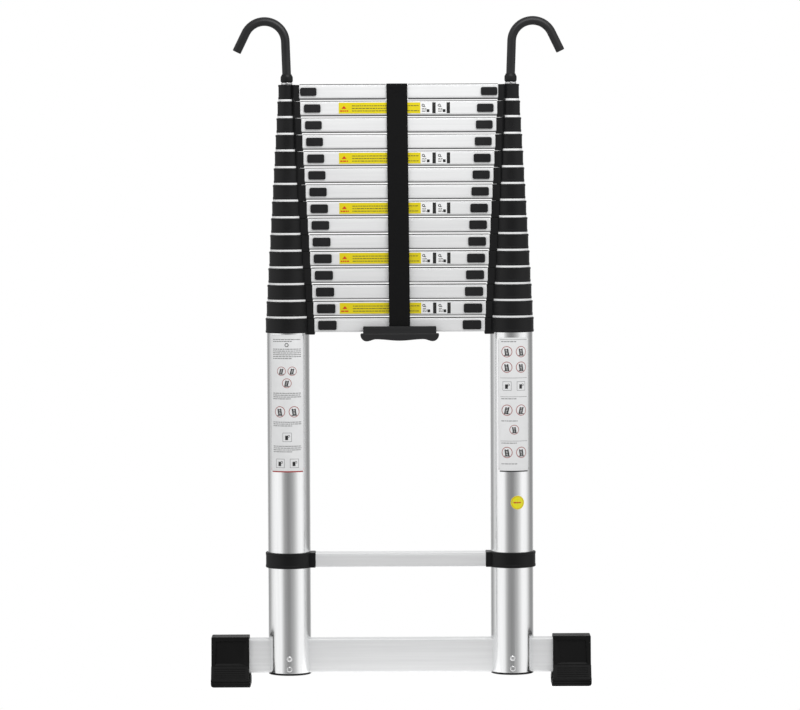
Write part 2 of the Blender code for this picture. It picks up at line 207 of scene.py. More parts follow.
ALONG_X, ALONG_Z = (0.02, 1, 1), (1, 1, 0.02)
TUBE_METAL = metal("tube_aluminium", (0.86, 0.865, 0.87), (0.92, 0.925, 0.93), (0.17, 0.21), ALONG_Z, 1.0, 0.06)
RUNG_METAL = metal("rung_aluminium", (0.90, 0.905, 0.91), (0.96, 0.963, 0.966), (0.44, 0.52), ALONG_X, 0.35, 0.08)
# Painted shade: a slightly darker copy of the rung aluminium for the bottom rung, its tone set for the light that
# reaches it.
LOW_RUNG_PAINTED_SHADE_METAL = metal("low_rung_aluminium", (0.88, 0.885, 0.89), (0.94, 0.945, 0.95), (0.44, 0.52), ALONG_X, 0.35)
# Painted highlight: a near-white copy of the aluminium for the ring under each collar, so the gap between collars
# reads bright despite its shade.
NECK_PAINTED_HIGHLIGHT = metal("bright_neck", (0.93, 0.935, 0.94), (0.97, 0.973, 0.976), (0.5, 0.6), (1, 1, 0.1), 0.1)
# Painted shade: near-black strips on the rungs' long edges, standing in for the dark edges that the rounded rungs
# show under this light.
RUNG_EDGE_PAINTED_SHADE = metal("rung_trim", (0.055, 0.055, 0.058), (0.085, 0.085, 0.088), (0.5, 0.6), ALONG_X, 0.2)
BAR_METAL = metal("bar_aluminium", (0.85, 0.855, 0.86), (0.91, 0.915, 0.92), (0.5, 0.6), ALONG_X, 0.3)
STEEL = metal("zinc_steel", (0.62, 0.62, 0.62), (0.78, 0.78, 0.79), (0.25, 0.4), (1, 1, 1))
COLLAR_PLASTIC = moulded("collar_plastic", (0.006, 0.006, 0.0065), (0.010, 0.010, 0.0105), (0.40, 0.50), 0.22)
CLAMP_PLASTIC = moulded("clamp_plastic", (0.004, 0.004, 0.0045), (0.007, 0.007, 0.0075), (0.40, 0.50), 0.22)
BUTTON_PLASTIC = moulded("button_plastic", (0.007, 0.007, 0.008), (0.010, 0.010, 0.011), (0.33, 0.42), 0.4)
GRIP_PLASTIC = moulded("grip_plastic", (0.010, 0.010, 0.011), (0.014, 0.014, 0.015), (0.45, 0.55), 0.45)
FOOT_RUBBER = moulded("foot_rubber", (0.003, 0.003, 0.003), (0.005, 0.005, 0.005), (0.5, 0.62), 0.2)
HOOK_COATING = moulded("hook_coating", (0.009, 0.009, 0.010), (0.014, 0.014, 0.015), (0.38, 0.48), 0.38)
WEBBING = woven("webbing", (0.001, 0.001, 0.0012), (0.004, 0.004, 0.0043))
YELLOW_FILM = printed("yellow_film", (0.82, 0.68, 0.005))
WHITE_FILM = printed("white_film", (0.94, 0.945, 0.95))
RED_INK = printed("red_ink", (0.66, 0.035, 0.015))
EDGE_RED = printed("edge_red", (0.42, 0.02, 0.015))
# Painted light: a brighter yellow for the round sticker, raised to make up for the dark surroundings that it faces.
ROUND_STICKER_PAINTED_LIGHT_YELLOW = printed("bright_yellow", (0.95, 0.88, 0.01))
PINK_INK = printed("pink_ink", (0.46, 0.17, 0.16))
LABEL_INK = printed("label_ink", (0.17, 0.17, 0.175))
TEXT_INK = printed("text_ink", (0.055, 0.05, 0.04))
BLACK_INK = printed("black_ink", (0.02, 0.02, 0.02))


# Mesh helpers


def shaded(name, bm, material, angle=35.0):
    """An object from a bmesh, smooth over its rounded faces and sharp at its edges."""
    bmesh.ops.recalc_face_normals(bm, faces=bm.faces)
    mesh = bpy.data.meshes.new(name)
    bm.to_mesh(mesh)
    bm.free()
    mesh.materials.append(material)
    mesh.shade_smooth()
    mesh.set_sharp_from_angle(angle=math.radians(angle))
    made = bpy.data.objects.new(name, mesh)
    bpy.context.scene.collection.objects.link(made)
    return made


def piece(name, bm, material, body, replaces=(), angle=35.0):
    made = shaded(name, bm, material, angle)
    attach(made, body)
    if replaces:
        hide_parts(*replaces)
    return made


def band_faces(bm, loops, closed=True):
    """Joins each loop of vertices to the next with a band of faces. Each loop is a closed ring unless told not."""
    for low, high in zip(loops, loops[1:]):
        for i in range(0 if closed else 1, len(low)):
            bm.faces.new((low[i - 1], low[i], high[i], high[i - 1]))


def cut(made, cutters):
    """Takes cutter objects away from a piece's mesh, and removes them."""
    for cutter in cutters:
        modifier = made.modifiers.new("cut", "BOOLEAN")
        modifier.operation = "DIFFERENCE"
        modifier.object = cutter
    graph = bpy.context.evaluated_depsgraph_get()
    old = made.data
    made.data = bpy.data.meshes.new_from_object(made.evaluated_get(graph))
    made.data.name = old.name
    made.modifiers.clear()
    bpy.data.meshes.remove(old)
    for cutter in cutters:
        bpy.data.objects.remove(cutter)
    return made


def lathe(profile, centre, segments=ROUND, closed=True, axis="Z"):
    """Turns a profile of (radius, height) about an upright axis through centre, or a level one along Y."""
    bm = bmesh.new()
    rings = []
    for radius, height in profile:
        ring = []
        for angle in turns(segments):
            across, up = radius * math.cos(angle), radius * math.sin(angle)
            offset = (across, up, height) if axis == "Z" else (across, height, up)
            ring.append(bm.verts.new(Vector(centre) + Vector(offset)))
        rings.append(ring)
    band_faces(bm, rings + rings[:1] if closed else rings)
    if not closed:
        bm.faces.new(rings[0])
        bm.faces.new(rings[-1])
    return bm


def rounded_profile(inner, outer, low, high, e):
    """A hollow ring's cross-section, with outer edges rounded by e."""
    return [
        (inner, low), (outer - e, low), (outer - 0.3 * e, low + 0.3 * e), (outer, low + e),
        (outer, high - e), (outer - 0.3 * e, high - 0.3 * e), (outer - e, high), (inner, high),
    ]


def grooved(profile, low, high, depth=0.0005, slope=0.0006):
    """A rounded profile with its outer side sunk between two heights."""
    outer = profile[3][0]
    sunk = [(outer, low - slope), (outer - depth, low), (outer - depth, high), (outer, high + slope)]
    return profile[:4] + sunk + profile[4:]


def extruded(outline, axis, low, high, edge=0.0, segments=2, holes=(), bm=None):
    """An outline extruded along axis, with its sharp edges rounded by edge. Holes are further outlines."""
    bm = bmesh.new() if bm is None else bm
    place = {
        "X": lambda along, a, b: Vector((along, a, b)),
        "Y": lambda along, a, b: Vector((a, along, b)),
        "Z": lambda along, a, b: Vector((a, b, along)),
    }[axis]
    edges = []
    for points in (outline, *holes):
        verts = [bm.verts.new(place(low, a, b)) for a, b in points]
        edges += [bm.edges.new((a, b)) for a, b in zip(verts, verts[1:] + verts[:1])]
    if holes:
        filled = bmesh.ops.triangle_fill(bm, edges=edges, use_beauty=True)
        faces = [g for g in filled["geom"] if isinstance(g, bmesh.types.BMFace)]
    else:
        faces = [bm.faces.new(verts)]
    pushed = bmesh.ops.extrude_face_region(bm, geom=faces, use_keep_orig=True)["geom"]
    moved = [v for v in pushed if isinstance(v, bmesh.types.BMVert)]
    bmesh.ops.translate(bm, vec=place(high - low, 0, 0), verts=moved)
    bmesh.ops.recalc_face_normals(bm, faces=bm.faces)
    if edge:
        round_edges(bm, edge, segments)
    return bm


def round_edges(bm, width, segments=2):
    sharp = [e for e in bm.edges if len(e.link_faces) == 2 and e.calc_face_angle(0) > math.radians(28)]
    bmesh.ops.bevel(bm, geom=sharp, offset=width, segments=segments, profile=0.5, affect="EDGES", clamp_overlap=True)


def turns(steps):
    """Angles once round a circle."""
    return [math.tau * step / steps for step in range(steps)]


def arc(centre, radius, start, end, steps):
    """Points along an arc, angles in degrees."""
    angles = [math.radians(start + (end - start) * i / steps) for i in range(steps + 1)]
    return [(centre[0] + radius * math.cos(a), centre[1] + radius * math.sin(a)) for a in angles]


def rounded_rectangle(x_low, x_high, y_low, y_high, r, steps=4):
    corners = ((x_low + r, y_low + r), (x_high - r, y_low + r), (x_high - r, y_high - r), (x_low + r, y_high - r))
    points = []
    for quarter, corner in enumerate(corners):
        points += arc(corner, r, 180 + 90 * quarter, 270 + 90 * quarter, steps)
    return points


def box_cutter(low, high):
    bm = bmesh.new()
    cube = bmesh.ops.create_cube(bm, size=1)["verts"]
    low, high = Vector(low), Vector(high)
    size = Vector([abs(a - b) for a, b in zip(low, high)])
    bmesh.ops.scale(bm, vec=size, verts=cube)
    bmesh.ops.translate(bm, vec=(low + high) / 2, verts=cube)
    return shaded("cutter", bm, STEEL)


def rod_between(bm, start, end, radius, segments=24):
    """A closed round rod from start to end."""
    start, end = Vector(start), Vector(end)
    direction = end - start
    turn = Vector((0, 0, 1)).rotation_difference(direction).to_matrix().to_4x4()
    place = Matrix.Translation((start + end) / 2) @ turn
    bmesh.ops.create_cone(
        bm, cap_ends=True, segments=segments, radius1=radius, radius2=radius, depth=direction.length, matrix=place
    )
    return bm


def rod_cutter(start, end, radius):
    return shaded("cutter", rod_between(bmesh.new(), start, end, radius), STEEL)


# Telescoping sections: tubes, collars, rungs, buttons and bushes

RUNG_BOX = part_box("bottom_rung")
RUNG_HALF_DEPTH = RUNG_BOX[1].y
RUNG_HALF_HEIGHT = (RUNG_BOX[1].z - RUNG_BOX[0].z) / 2
RUNG_WALL = 0.0018
RUNG_TUCK = 0.0015
TREAD_RIBS = 7
BUTTON_LENGTH = 0.029
SLOT_HALF_LENGTH, SLOT_HALF_HEIGHT = 0.0093, 0.0034
STRAP_GAP = 0.0203
STRAP_SWAY = 0.0032
BOLT_LIFT = 0.005
TUBE_FOOT_LIFT = 0.004


def rung_outline(z):
    """The extrusion's section: flat front and back that draw in at the foot, and a ribbed tread on top."""
    y, h, c = RUNG_HALF_DEPTH, RUNG_HALF_HEIGHT, 0.0012
    low = -h
    side = [
        (low + c, 0.0009), (low + 0.0024, 0.0004), (low + 0.0030, 0), (h - 0.0033, 0), (h - 0.0028, 0.0004),
        (h - 0.0023, 0), (h - c, 0),
    ]
    back = [(y - d, z + v) for v, d in side]
    front = [(-y + d, z + v) for v, d in reversed(side)]
    tread = []
    pitch = (2 * y - 0.008) / TREAD_RIBS
    for rib in range(TREAD_RIBS):
        mid = y - 0.004 - pitch * (rib + 0.5)
        tread += [
            (mid + pitch * 0.45, z + h - 0.0007),
            (mid + pitch * 0.2, z + h),
            (mid - pitch * 0.2, z + h),
            (mid - pitch * 0.45, z + h - 0.0007),
        ]
    corner_back = arc((y - c, z + h - c), c, 20, 90, 3)
    corner_front = arc((-y + c, z + h - c), c, 90, 160, 3)
    low_back = arc((y - 0.0009 - c, z + low + c), c, -90, -20, 3)
    low_front = arc((-y + 0.0009 + c, z + low + c), c, 200, 270, 3)
    return low_front + low_back + back + corner_back + tread + corner_front + front


def rung_hollow(z):
    y, h = RUNG_HALF_DEPTH - RUNG_WALL, RUNG_HALF_HEIGHT - RUNG_WALL
    return rounded_rectangle(-y, y, z - h, z + h, 0.0015, 2)


def rung_half(section):
    """Half the rung's length that shows, between its collar blocks."""
    return TUBE_X - tube_radius(section) - BLOCK_REACH


def make_rung(section):
    """A hollow rung with a slot behind each thumb button, and its dark edge strips of painted shade."""
    z = rung_z(section)
    half = rung_half(section) + RUNG_TUCK
    bm = extruded(rung_outline(z), "X", -half, half, holes=[rung_hollow(z)])
    made = piece(f"rung_{section:02d}", bm, RUNG_METAL, body_of_section(section), angle=25)
    slots = []
    for side in SIDES.values():
        middle = side * (rung_half(section) - button_offset(section))
        slots.append(box_cutter(
            (middle - SLOT_HALF_LENGTH, -0.03, z - SLOT_HALF_HEIGHT),
            (middle + SLOT_HALF_LENGTH, -0.0115, z + SLOT_HALF_HEIGHT),
        ))
    cut(made, slots)
    return joined(made, [rung_painted_shade_strips(section)], RUNG_EDGE_PAINTED_SHADE)


def rung_painted_shade_strips(section):
    """Painted shade: dark strips along the rung's long edges (only the upper two on section 1), with a gap round the
    strap.
    """
    z = rung_z(section)
    half = rung_half(section)
    spans = [(-half, half)]
    if section == SECTION_COUNT:
        spans = [(-half, -STRAP_GAP - STRAP_SWAY), (STRAP_GAP - STRAP_SWAY, half)]
    bm = bmesh.new()
    share = 1 - section / SECTION_COUNT
    y, h = RUNG_HALF_DEPTH - 0.0004, RUNG_HALF_HEIGHT
    for start, end in spans:
        strips = [(h - 0.0003, h + 0.0012 - 0.0006 * share, y - 0.0014)]
        if section > 1:
            strips.append((-h - 0.0018 + 0.0010 * share, -h + 0.0004, y - 0.0022))
        for low, high, inner in strips:
            for front in (-1, 1):
                band = rounded_rectangle(*sorted((front * inner, front * y)), z + low, z + high, 0.0003, 2)
                extruded(band, "X", start, end, bm=bm)
    return shaded("trims", bm, RUNG_EDGE_PAINTED_SHADE)


def button_offset(section):
    """Distance from the collar block's face to the middle of the button's plate."""
    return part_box(f"lock_button_left_{section:02d}")[1].x - BUTTON_LENGTH / 2 + rung_half(section)


def tube_place(section, side_name):
    """A tube's axis, the way from it to the ladder's middle, its radius, and its rung's height."""
    side = SIDES[side_name]
    return side * TUBE_X, -side, tube_radius(section), rung_z(section)


def make_tube(section, side_name):
    """A tube bored for its lock pins, with a pale ring of painted highlight under the collar of every tube but the
    lowest.
    """
    x, inward, radius, z = tube_place(section, side_name)
    low, high = section_box(section)[0].z, z + COLLAR_HALF_HEIGHT - 0.002
    if section == 1:
        low += TUBE_FOOT_LIFT
    profile = rounded_profile(radius - TUBE_WALL, radius, low, high, 0.0004)
    bm = lathe(profile, (x, 0, 0))
    made = piece(f"tube_{side_name}_{section:02d}", bm, TUBE_METAL, body_of_section(section))
    reach = (x + inward * radius * 0.5, x + inward * (radius + 0.002))
    heights = [z] if section == 1 else [z, z - EXTENDED_PITCH]
    cutters = [rod_cutter((reach[0], 0, h), (reach[1], 0, h), PIN_BORE_RADIUS) for h in heights]
    if section == 1:
        cutters += stabilizer_cutters(x, radius + 0.004)
    cut(made, cutters)
    if section > 1:
        collar_foot = z - COLLAR_HALF_HEIGHT - COLLAR_DROP
        neck = rounded_profile(radius - 0.0002, radius + 0.0019, collar_foot - 0.0034, collar_foot + 0.0004, 0.0002)
        joined(made, [shaded("neck", lathe(neck, (x, 0, 0)), NECK_PAINTED_HIGHLIGHT)], NECK_PAINTED_HIGHLIGHT)
    return made


def bolt_height():
    """The bolts sit a little above their CAD nodes."""
    return sum(c.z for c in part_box("stabilizer_bolt_left")) / 2 + BOLT_LIFT


def stabilizer_cutters(x, reach):
    """Cutters for the bar's window through a lowest tube, and for the bolt's hole."""
    low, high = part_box("stabilizer_bar")
    gap = 0.0003
    window = box_cutter((x - reach, low.y - gap, low.z - gap), (x + reach, high.y + gap, high.z + gap))
    bolt_z = bolt_height()
    return [window, rod_cutter((x, -reach, bolt_z), (x, reach, bolt_z), PIN_BORE_RADIUS)]


def block_outline(x, inward, radius):
    """Plan of a collar's block: it flares from the ring to its flat end at the rung, which has rounded corners.

    On the narrow upper rings it reaches further round them.
    """
    far = radius + BLOCK_REACH
    d, r = BLOCK_HALF_DEPTH, 0.0022
    ring = radius + COLLAR_WALL
    seat = ring - 0.0008
    near = 0.6 * ring if ring < NARROW_RING else radius - BLOCK_INSET - 0.0020
    level = math.sqrt(max(ring**2 - d**2, 0))
    near = max(near, level)
    shoulder = max(radius - BLOCK_INSET + 0.0025, level + 0.0005)
    half = math.degrees(math.acos(min(near / seat, 1)))
    tip = min(math.sqrt(max(ring**2 - near**2, 0)), d)
    outline = (
        [(shoulder, d), (near, tip)]
        + arc((0, 0), seat, half, -half, 8)
        + [(near, -tip), (shoulder, -d)]
        + arc((far - r, -d + r), r, -90, 0, 4)
        + arc((far - r, d - r), r, 0, 90, 4)
    )
    points = [(x + inward * a, b) for a, b in outline]
    return points[::inward]


def add_oval(bm, centre, radius, z, half_width, half_height, rise):
    """A raised plain oval on the front of a ring of that radius."""
    loops = []
    for share, height in ((1.0, -0.0002), (0.94, rise), (0.78, rise), (0.7, 0.0001)):
        loop = []
        for angle in turns(32):
            across = half_width * share * math.cos(angle) / radius
            r = radius + height
            up = half_height * share * math.sin(angle)
            loop.append(bm.verts.new((centre + r * math.sin(across), -r * math.cos(across), z + up)))
        loops.append(loop)
    band_faces(bm, loops)
    bm.faces.new(loops[-1])
    bm.faces.new(loops[0])


def make_collar(section, side_name):
    """A moulded ring round the tube's head, and the block beside it that holds the rung's end."""
    x, inward, radius, z = tube_place(section, side_name)
    outer = radius + COLLAR_WALL
    low, high = z - COLLAR_HALF_HEIGHT - COLLAR_DROP, z + COLLAR_HALF_HEIGHT
    bore = radius + 0.00005
    profile = grooved(rounded_profile(bore, outer, low, high, 0.0008), low + 0.0048, high - 0.0040)
    profile[-1:] = [(radius - TUBE_WALL, high), (radius - TUBE_WALL, high - 0.0018), (bore, high - 0.0018)]
    bm = lathe(profile, (x, 0, 0))
    ring = piece(f"collar_{side_name}_{section:02d}", bm, COLLAR_PLASTIC, body_of_section(section))
    oval = bmesh.new()
    if section < SECTION_COUNT:
        add_oval(oval, x, outer - 0.0005, z + 0.0003, min(0.0052, outer * 0.4), 0.0068, 0.0004)
    blocks = extruded(block_outline(x, inward, radius), "Z", z - BLOCK_DROP, z + BLOCK_TOP, 0.0009)
    block = shaded("block", blocks, COLLAR_PLASTIC)
    bore_ends = [(x + inward * reach, 0, z) for reach in (radius * 0.7, radius + 0.012)]
    for part in (block, ring):
        cut(part, [rod_cutter(*bore_ends, PIN_BORE_RADIUS)])
    return joined(ring, [block, shaded("oval", oval, COLLAR_PLASTIC)])


def joined(target, others, material=None):
    """Adds the others' faces to target's mesh and removes them. A material given is theirs."""
    bm = bmesh.new()
    bm.from_mesh(target.data)
    if material:
        target.data.materials.append(material)
    index = len(target.data.materials) - 1 if material else 0
    for other in others:
        first = len(bm.faces)
        bm.from_mesh(other.data)
        bm.faces.ensure_lookup_table()
        for face in bm.faces[first:]:
            face.material_index = index
    bm.to_mesh(target.data)
    bm.free()
    for other in others:
        bpy.data.objects.remove(other)
    target.data.shade_smooth()
    target.data.set_sharp_from_angle(angle=math.radians(35))
    return target


def make_bush(section, side_name):
    """The plastic guide bush that fills the gap to the tube outside, at an inner tube's foot."""
    x = SIDES[side_name] * TUBE_X
    radius = tube_radius(section)
    outer = tube_radius(section - 1) - TUBE_WALL - 0.00015
    low = section_box(section)[0].z
    profile = rounded_profile(radius + 0.00005, outer, low + 0.0005, low + 0.020, 0.0002)
    bm = lathe(profile, (x, 0, 0))
    return piece(f"guide_bush_{side_name}_{section:02d}", bm, GRIP_PLASTIC, body_of_section(section))


def make_button(section, side_name):
    """A ridged thumb button, the carriage behind it in the rung, and its lock pin."""
    inward = -SIDES[side_name]
    node = f"lock_button_{side_name}_{section:02d}"
    low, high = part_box(node)
    z = (low.z + high.z) / 2
    far = high.x if inward > 0 else low.x
    tip = low.x if inward > 0 else high.x
    near = far - inward * BUTTON_LENGTH
    middle = (near + far) / 2
    share = 1 - section / SECTION_COUNT
    half = (high.z - low.z) / 2 + 0.0005 + 0.0010 * share
    far += inward * (0.0010 + 0.0042 * share)
    back = -RUNG_HALF_DEPTH - 0.0003
    outline = [
        (near, z - half + 0.0022), (near, z + half - 0.0022), (near + inward * 0.0022, z + half),
        (far - inward * 0.002, z + half), (far, z + half - 0.002), (far, z - half + 0.002),
        (far - inward * 0.002, z - half), (near + inward * 0.0022, z - half),
    ]
    bm = extruded(outline[::inward], "Y", low.y, back, 0.0008, 3)
    for ridge in range(4):
        x = far - inward * (0.0065 + 0.0032 * ridge)
        rod_between(bm, (x, low.y + 0.0003, z - half * 0.6), (x, low.y + 0.0003, z + half * 0.6), 0.00045, 12)
    button = piece(node.replace("lock_button", "thumb_button"), bm, BUTTON_PLASTIC, node, [node])
    saddle = rounded_rectangle(middle - 0.004, middle + 0.004, z - 0.003, z + 0.003, 0.001)
    carriage = extruded(saddle, "Y", back, 0.0042)
    rod_between(carriage, (middle + inward * 0.004, 0, z), (middle + inward * 0.0065, 0, z), 0.0024)
    piece(f"pin_carriage_{side_name}_{section:02d}", carriage, BUTTON_PLASTIC, node)
    pin = bmesh.new()
    rod_between(pin, (tip + inward * 0.0004, 0, z), (middle - inward * 0.004, 0, z), PIN_RADIUS)
    round_edges(pin, 0.0005)
    piece(f"lock_pin_{side_name}_{section:02d}", pin, STEEL, node)
    return button


for number in SECTIONS:
    make_rung(number)
    for side_name in SIDES:
        make_tube(number, side_name)
        make_collar(number, side_name)
        make_button(number, side_name)
        if number > 1:
            make_bush(number, side_name)
for number in SECTIONS:
    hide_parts(f"section_{number:02d}")


# Bottom rung, stabilizer bar and feet

CLAMP_RADIUS = 0.0434
CLAMP_REACH = 0.009
CLAMP_SPIGOT = 0.015
BAR_WALL = 0.002
BAR_CORNER = 0.0035


def make_bottom_rung():
    low, high = RUNG_BOX
    z = (low.z + high.z) / 2
    bm = extruded(rung_outline(z), "X", low.x, high.x, holes=[rung_hollow(z)])
    # The bottom rung takes the darker copy of the rung aluminium, as painted shade.
    piece("bottom_rung_tread", bm, LOW_RUNG_PAINTED_SHADE_METAL, "base", ["bottom_rung"], angle=25)


def make_clamp(side_name):
    """A ring round the lowest tube, with the block and spigot that carry the bottom rung's end."""
    x, inward, radius, _ = tube_place(1, side_name)
    node = f"bottom_rung_clamp_{side_name}"
    low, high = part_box(node)
    z = (low.z + high.z) / 2
    bore = radius + 0.00015
    profile = grooved(rounded_profile(bore, CLAMP_RADIUS, low.z, high.z, 0.0012), low.z + 0.0051, high.z - 0.0051)
    bm = lathe(profile, (x, 0, 0))
    ring = piece(f"rung_clamp_{side_name}", bm, CLAMP_PLASTIC, "base", [node])
    d, r = BLOCK_HALF_DEPTH + 0.001, 0.002
    half = 62
    outline = (
        arc((0, 0), bore, half, -half, 16)
        + [(bore * 0.72, -d)]
        + arc((radius + CLAMP_REACH - r, -d + r), r, -90, 0, 4)
        + arc((radius + CLAMP_REACH - r, d - r), r, 0, 90, 4)
        + [(bore * 0.72, d)]
    )
    points = [(x + inward * a, b) for a, b in outline]
    blocks = extruded(points[::inward], "Z", low.z + 0.0003, high.z - 0.0003, 0.0009)
    block = shaded("block", blocks, CLAMP_PLASTIC)
    face = x + inward * (radius + CLAMP_REACH)
    y, h = RUNG_HALF_DEPTH - RUNG_WALL - 0.0003, RUNG_HALF_HEIGHT - RUNG_WALL - 0.0003
    ends = sorted((face - inward * 0.002, face + inward * CLAMP_SPIGOT))
    spigot = extruded(rounded_rectangle(-y, y, z - h, z + h, 0.0015), "X", *ends, 0.0006)
    joined(ring, [block, shaded("spigot", spigot, CLAMP_PLASTIC)])


def make_stabilizer_bar():
    low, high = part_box("stabilizer_bar")
    outer = rounded_rectangle(low.y, high.y, low.z, high.z, BAR_CORNER, 5)
    wall = BAR_WALL
    inner = rounded_rectangle(low.y + wall, high.y - wall, low.z + wall, high.z - wall, BAR_CORNER - 0.0015, 3)
    bm = extruded(outer, "X", low.x, high.x, holes=[inner])
    made = piece("stabilizer_beam", bm, BAR_METAL, "base", ["stabilizer_bar"], angle=25)
    bolt_z = bolt_height()
    cut(made, [
        rod_cutter((side * TUBE_X, low.y - 0.002, bolt_z), (side * TUBE_X, high.y + 0.002, bolt_z), PIN_BORE_RADIUS)
        for side in SIDES.values()
    ])


FOOT_TAPER = 0.0003
FOOT_TOP_SINK = 0.0034
SOLE_THICKNESS = 0.014
SOLE_LIP = 0.0022
LIP_TRIM = 0.0018
FLANGE_TOP_Z = 0.0235
FOOT_HALF_DEPTH = 0.022
LEDGE_Z = 0.0385


def foot_panel(side, inner, outer, top, front):
    """Cutter for the sunk panel in a boot's front (-1) or back (1) face, with sides that slope inwards."""
    low, high = LEDGE_Z, top - 0.007
    wide = [(inner + side * 0.0045, low), (outer - side * 0.0075, low), (outer - side * 0.0095, high),
            (inner + side * 0.0045, high)]
    low, high = low + 0.0032, high - 0.0025
    deep = [(inner + side * 0.0165, low), (outer - side * 0.0090, low), (outer - side * 0.0108, high),
            (inner + side * 0.0075, high)]
    panel = bmesh.new()
    loops = []
    for corners, rise in ((wide, 0.001), (wide, -0.0001), (deep, -0.0024)):
        loops.append([panel.verts.new((a, front * (FOOT_HALF_DEPTH + rise), b)) for a, b in corners])
    band_faces(panel, loops)
    panel.faces.new(loops[0])
    panel.faces.new(loops[-1])
    return shaded("cutter", panel, STEEL)


def foot_sole(side, lip, outer):
    """The sole slab, grooved round its edge and across its underside, with its outer lower corner rounded off."""
    front = [(0.036, 0)]
    for groove_z in (0.0049, 0.0091):
        groove = ((0.036, -0.0007), (0.0351, -0.0003), (0.0351, 0.0003), (0.036, 0.0007))
        front += [(y, groove_z + rise) for y, rise in groove]
    front += [(0.036, 0.0128), (0.035, SOLE_THICKNESS)]
    ends = sorted((lip, outer))
    profile = [(-y, z) for y, z in front] + [(y, z) for y, z in reversed(front)]
    sole = shaded("sole", extruded(profile, "X", *ends), FOOT_RUBBER)
    chamfer = [(-0.003, -0.003), (-0.003, 0.0078), (0, 0.0048), (0.0014, 0.0014), (0.0048, 0), (0.0078, -0.003)]
    chamfer = [(outer - side * a, b) for a, b in chamfer]
    corner = extruded(chamfer[::-side], "Y", -0.04, 0.04)
    grooves = [
        box_cutter((ends[0] - 0.01, y - 0.0012, -0.002), (ends[1] + 0.01, y + 0.0012, 0.0022))
        for y in (-0.030, -0.020, -0.010, 0.0, 0.010, 0.020, 0.030)
    ]
    return cut(sole, grooves + [shaded("cutter", corner, STEEL)])


def foot_skirt(side, lip, inner, outer):
    """What joins the boot to its sole: sloped sides with ribs, and a flange at the lip."""
    toe, heel = 0.0348, FOOT_HALF_DEPTH + 0.0002
    slope = [(-toe, SOLE_THICKNESS - 0.002), (-toe, SOLE_THICKNESS + 0.0004), (-heel, LEDGE_Z - 0.0012)]
    ends = sorted((inner + side * 0.0003, outer - side * 0.0003))
    wedge = extruded(slope + [(-y, z) for y, z in reversed(slope)], "X", *ends, 0.0008)
    band = rounded_rectangle(*sorted((lip, inner + side * 0.002)), 0.006, FLANGE_TOP_Z, 0.0012)
    flange = extruded(band, "Y", -FOOT_HALF_DEPTH, FOOT_HALF_DEPTH, 0.0006)
    ribs = bmesh.new()
    for front in (-1, 1):
        for share in (0.14, 0.30, 0.46, 0.62, 0.78):
            y = front * (toe + (heel - toe) * share)
            z = SOLE_THICKNESS + 0.0004 + (LEDGE_Z - 0.0016 - SOLE_THICKNESS) * share
            rod_between(ribs, (inner + side * 0.007, y, z), (outer - side * 0.006, y, z), 0.0007, 10)
    return [shaded("skirt", bm, FOOT_RUBBER) for bm in (wedge, flange, ribs)]


def make_foot(side_name):
    """A rubber boot on the bar's end: a rim round a sunk panel, a ledge, ribs under it, and a grooved sole."""
    side = SIDES[side_name]
    node = f"foot_{side_name}"
    low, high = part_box(node)
    lip, outer = (low.x, high.x) if side > 0 else (high.x, low.x)
    lip += side * LIP_TRIM
    inner = lip + side * SOLE_LIP
    top = high.z - FOOT_TOP_SINK
    face = outer - side * 0.0006
    r = 0.0018
    shoulder = [(face - side * (FOOT_TAPER + r - a), top - r + b) for a, b in arc((0, 0), r, 0, 90, 4)]
    across = [(inner, 0.004), (face, 0.004), (face, 0.030), *shoulder, (inner, top)]
    body = extruded(across[::side], "Y", -FOOT_HALF_DEPTH, FOOT_HALF_DEPTH, 0.0012)
    made = piece(f"foot_boot_{side_name}", body, FOOT_RUBBER, "base", [node])
    bar_low, bar_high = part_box("stabilizer_bar")
    bar_end = bar_high.x if side > 0 else bar_low.x
    gap = 0.0003
    outline = rounded_rectangle(bar_low.y - gap, bar_high.y + gap, bar_low.z - gap, bar_high.z + gap, BAR_CORNER, 5)
    pocket = extruded(outline, "X", *sorted((inner - side * 0.01, bar_end + side * gap)))
    panels = [foot_panel(side, inner, outer, top, front) for front in (-1, 1)]
    cut(made, [shaded("cutter", pocket, STEEL), *panels])
    joined(made, [foot_sole(side, lip, outer), *foot_skirt(side, lip, inner, outer)])


RIVET_Z = 0.033


def make_bolt(side_name):
    """The domed bolt through the lowest tube and the bar."""
    node = f"stabilizer_bolt_{side_name}"
    low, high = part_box(node)
    radius = (high.z - low.z) / 2
    reach = high.y
    seat = tube_radius(1) * math.cos(math.pi / CAD_TUBE_SIDES)
    dome = [(share * radius, -reach + sink) for share, sink in ((0.35, 0.0001), (0.7, 0.0007), (0.93, 0.0016))]
    profile = [
        (0.0001, -reach), *dome, (radius, -reach + 0.0024), (radius, -seat), (0.0028, -seat), (0.0028, seat),
        (radius, seat), (radius, reach - 0.0004), (radius - 0.0004, reach), (0.0001, reach),
    ]
    bolt = lathe(profile, (SIDES[side_name] * TUBE_X, 0, bolt_height()), 40, False, "Y")
    piece(f"bar_bolt_{side_name}", bolt, STEEL, "base", [node], angle=40)


def make_rivet(side_name):
    """The hollow pop rivet near the lowest tube's foot, with a dark plastic disc in its bore as painted shade."""
    centre = (SIDES[side_name] * TUBE_X, 0, RIVET_Z)
    front = tube_radius(1)
    ring = [(0.0021, -0.001), (0.003, -0.0013), (0.0043, -0.001), (0.005, -0.0003), (0.005, 0.0012), (0.0021, 0.0012)]
    # Painted shade: a dark plastic disc sunk in the rivet's bore stands in for the shade inside it.
    core = [(0.0001, 0.0001), (0.0023, 0.0001), (0.0023, 0.001), (0.0001, 0.001)]
    ring, core = ([(r, -front + sink) for r, sink in profile] for profile in (ring, core))
    made = piece(f"bar_rivet_{side_name}", lathe(ring, centre, 40, True, "Y"), STEEL, "base")
    joined(made, [shaded("core", lathe(core, centre, 24, False, "Y"), GRIP_PLASTIC)], GRIP_PLASTIC)


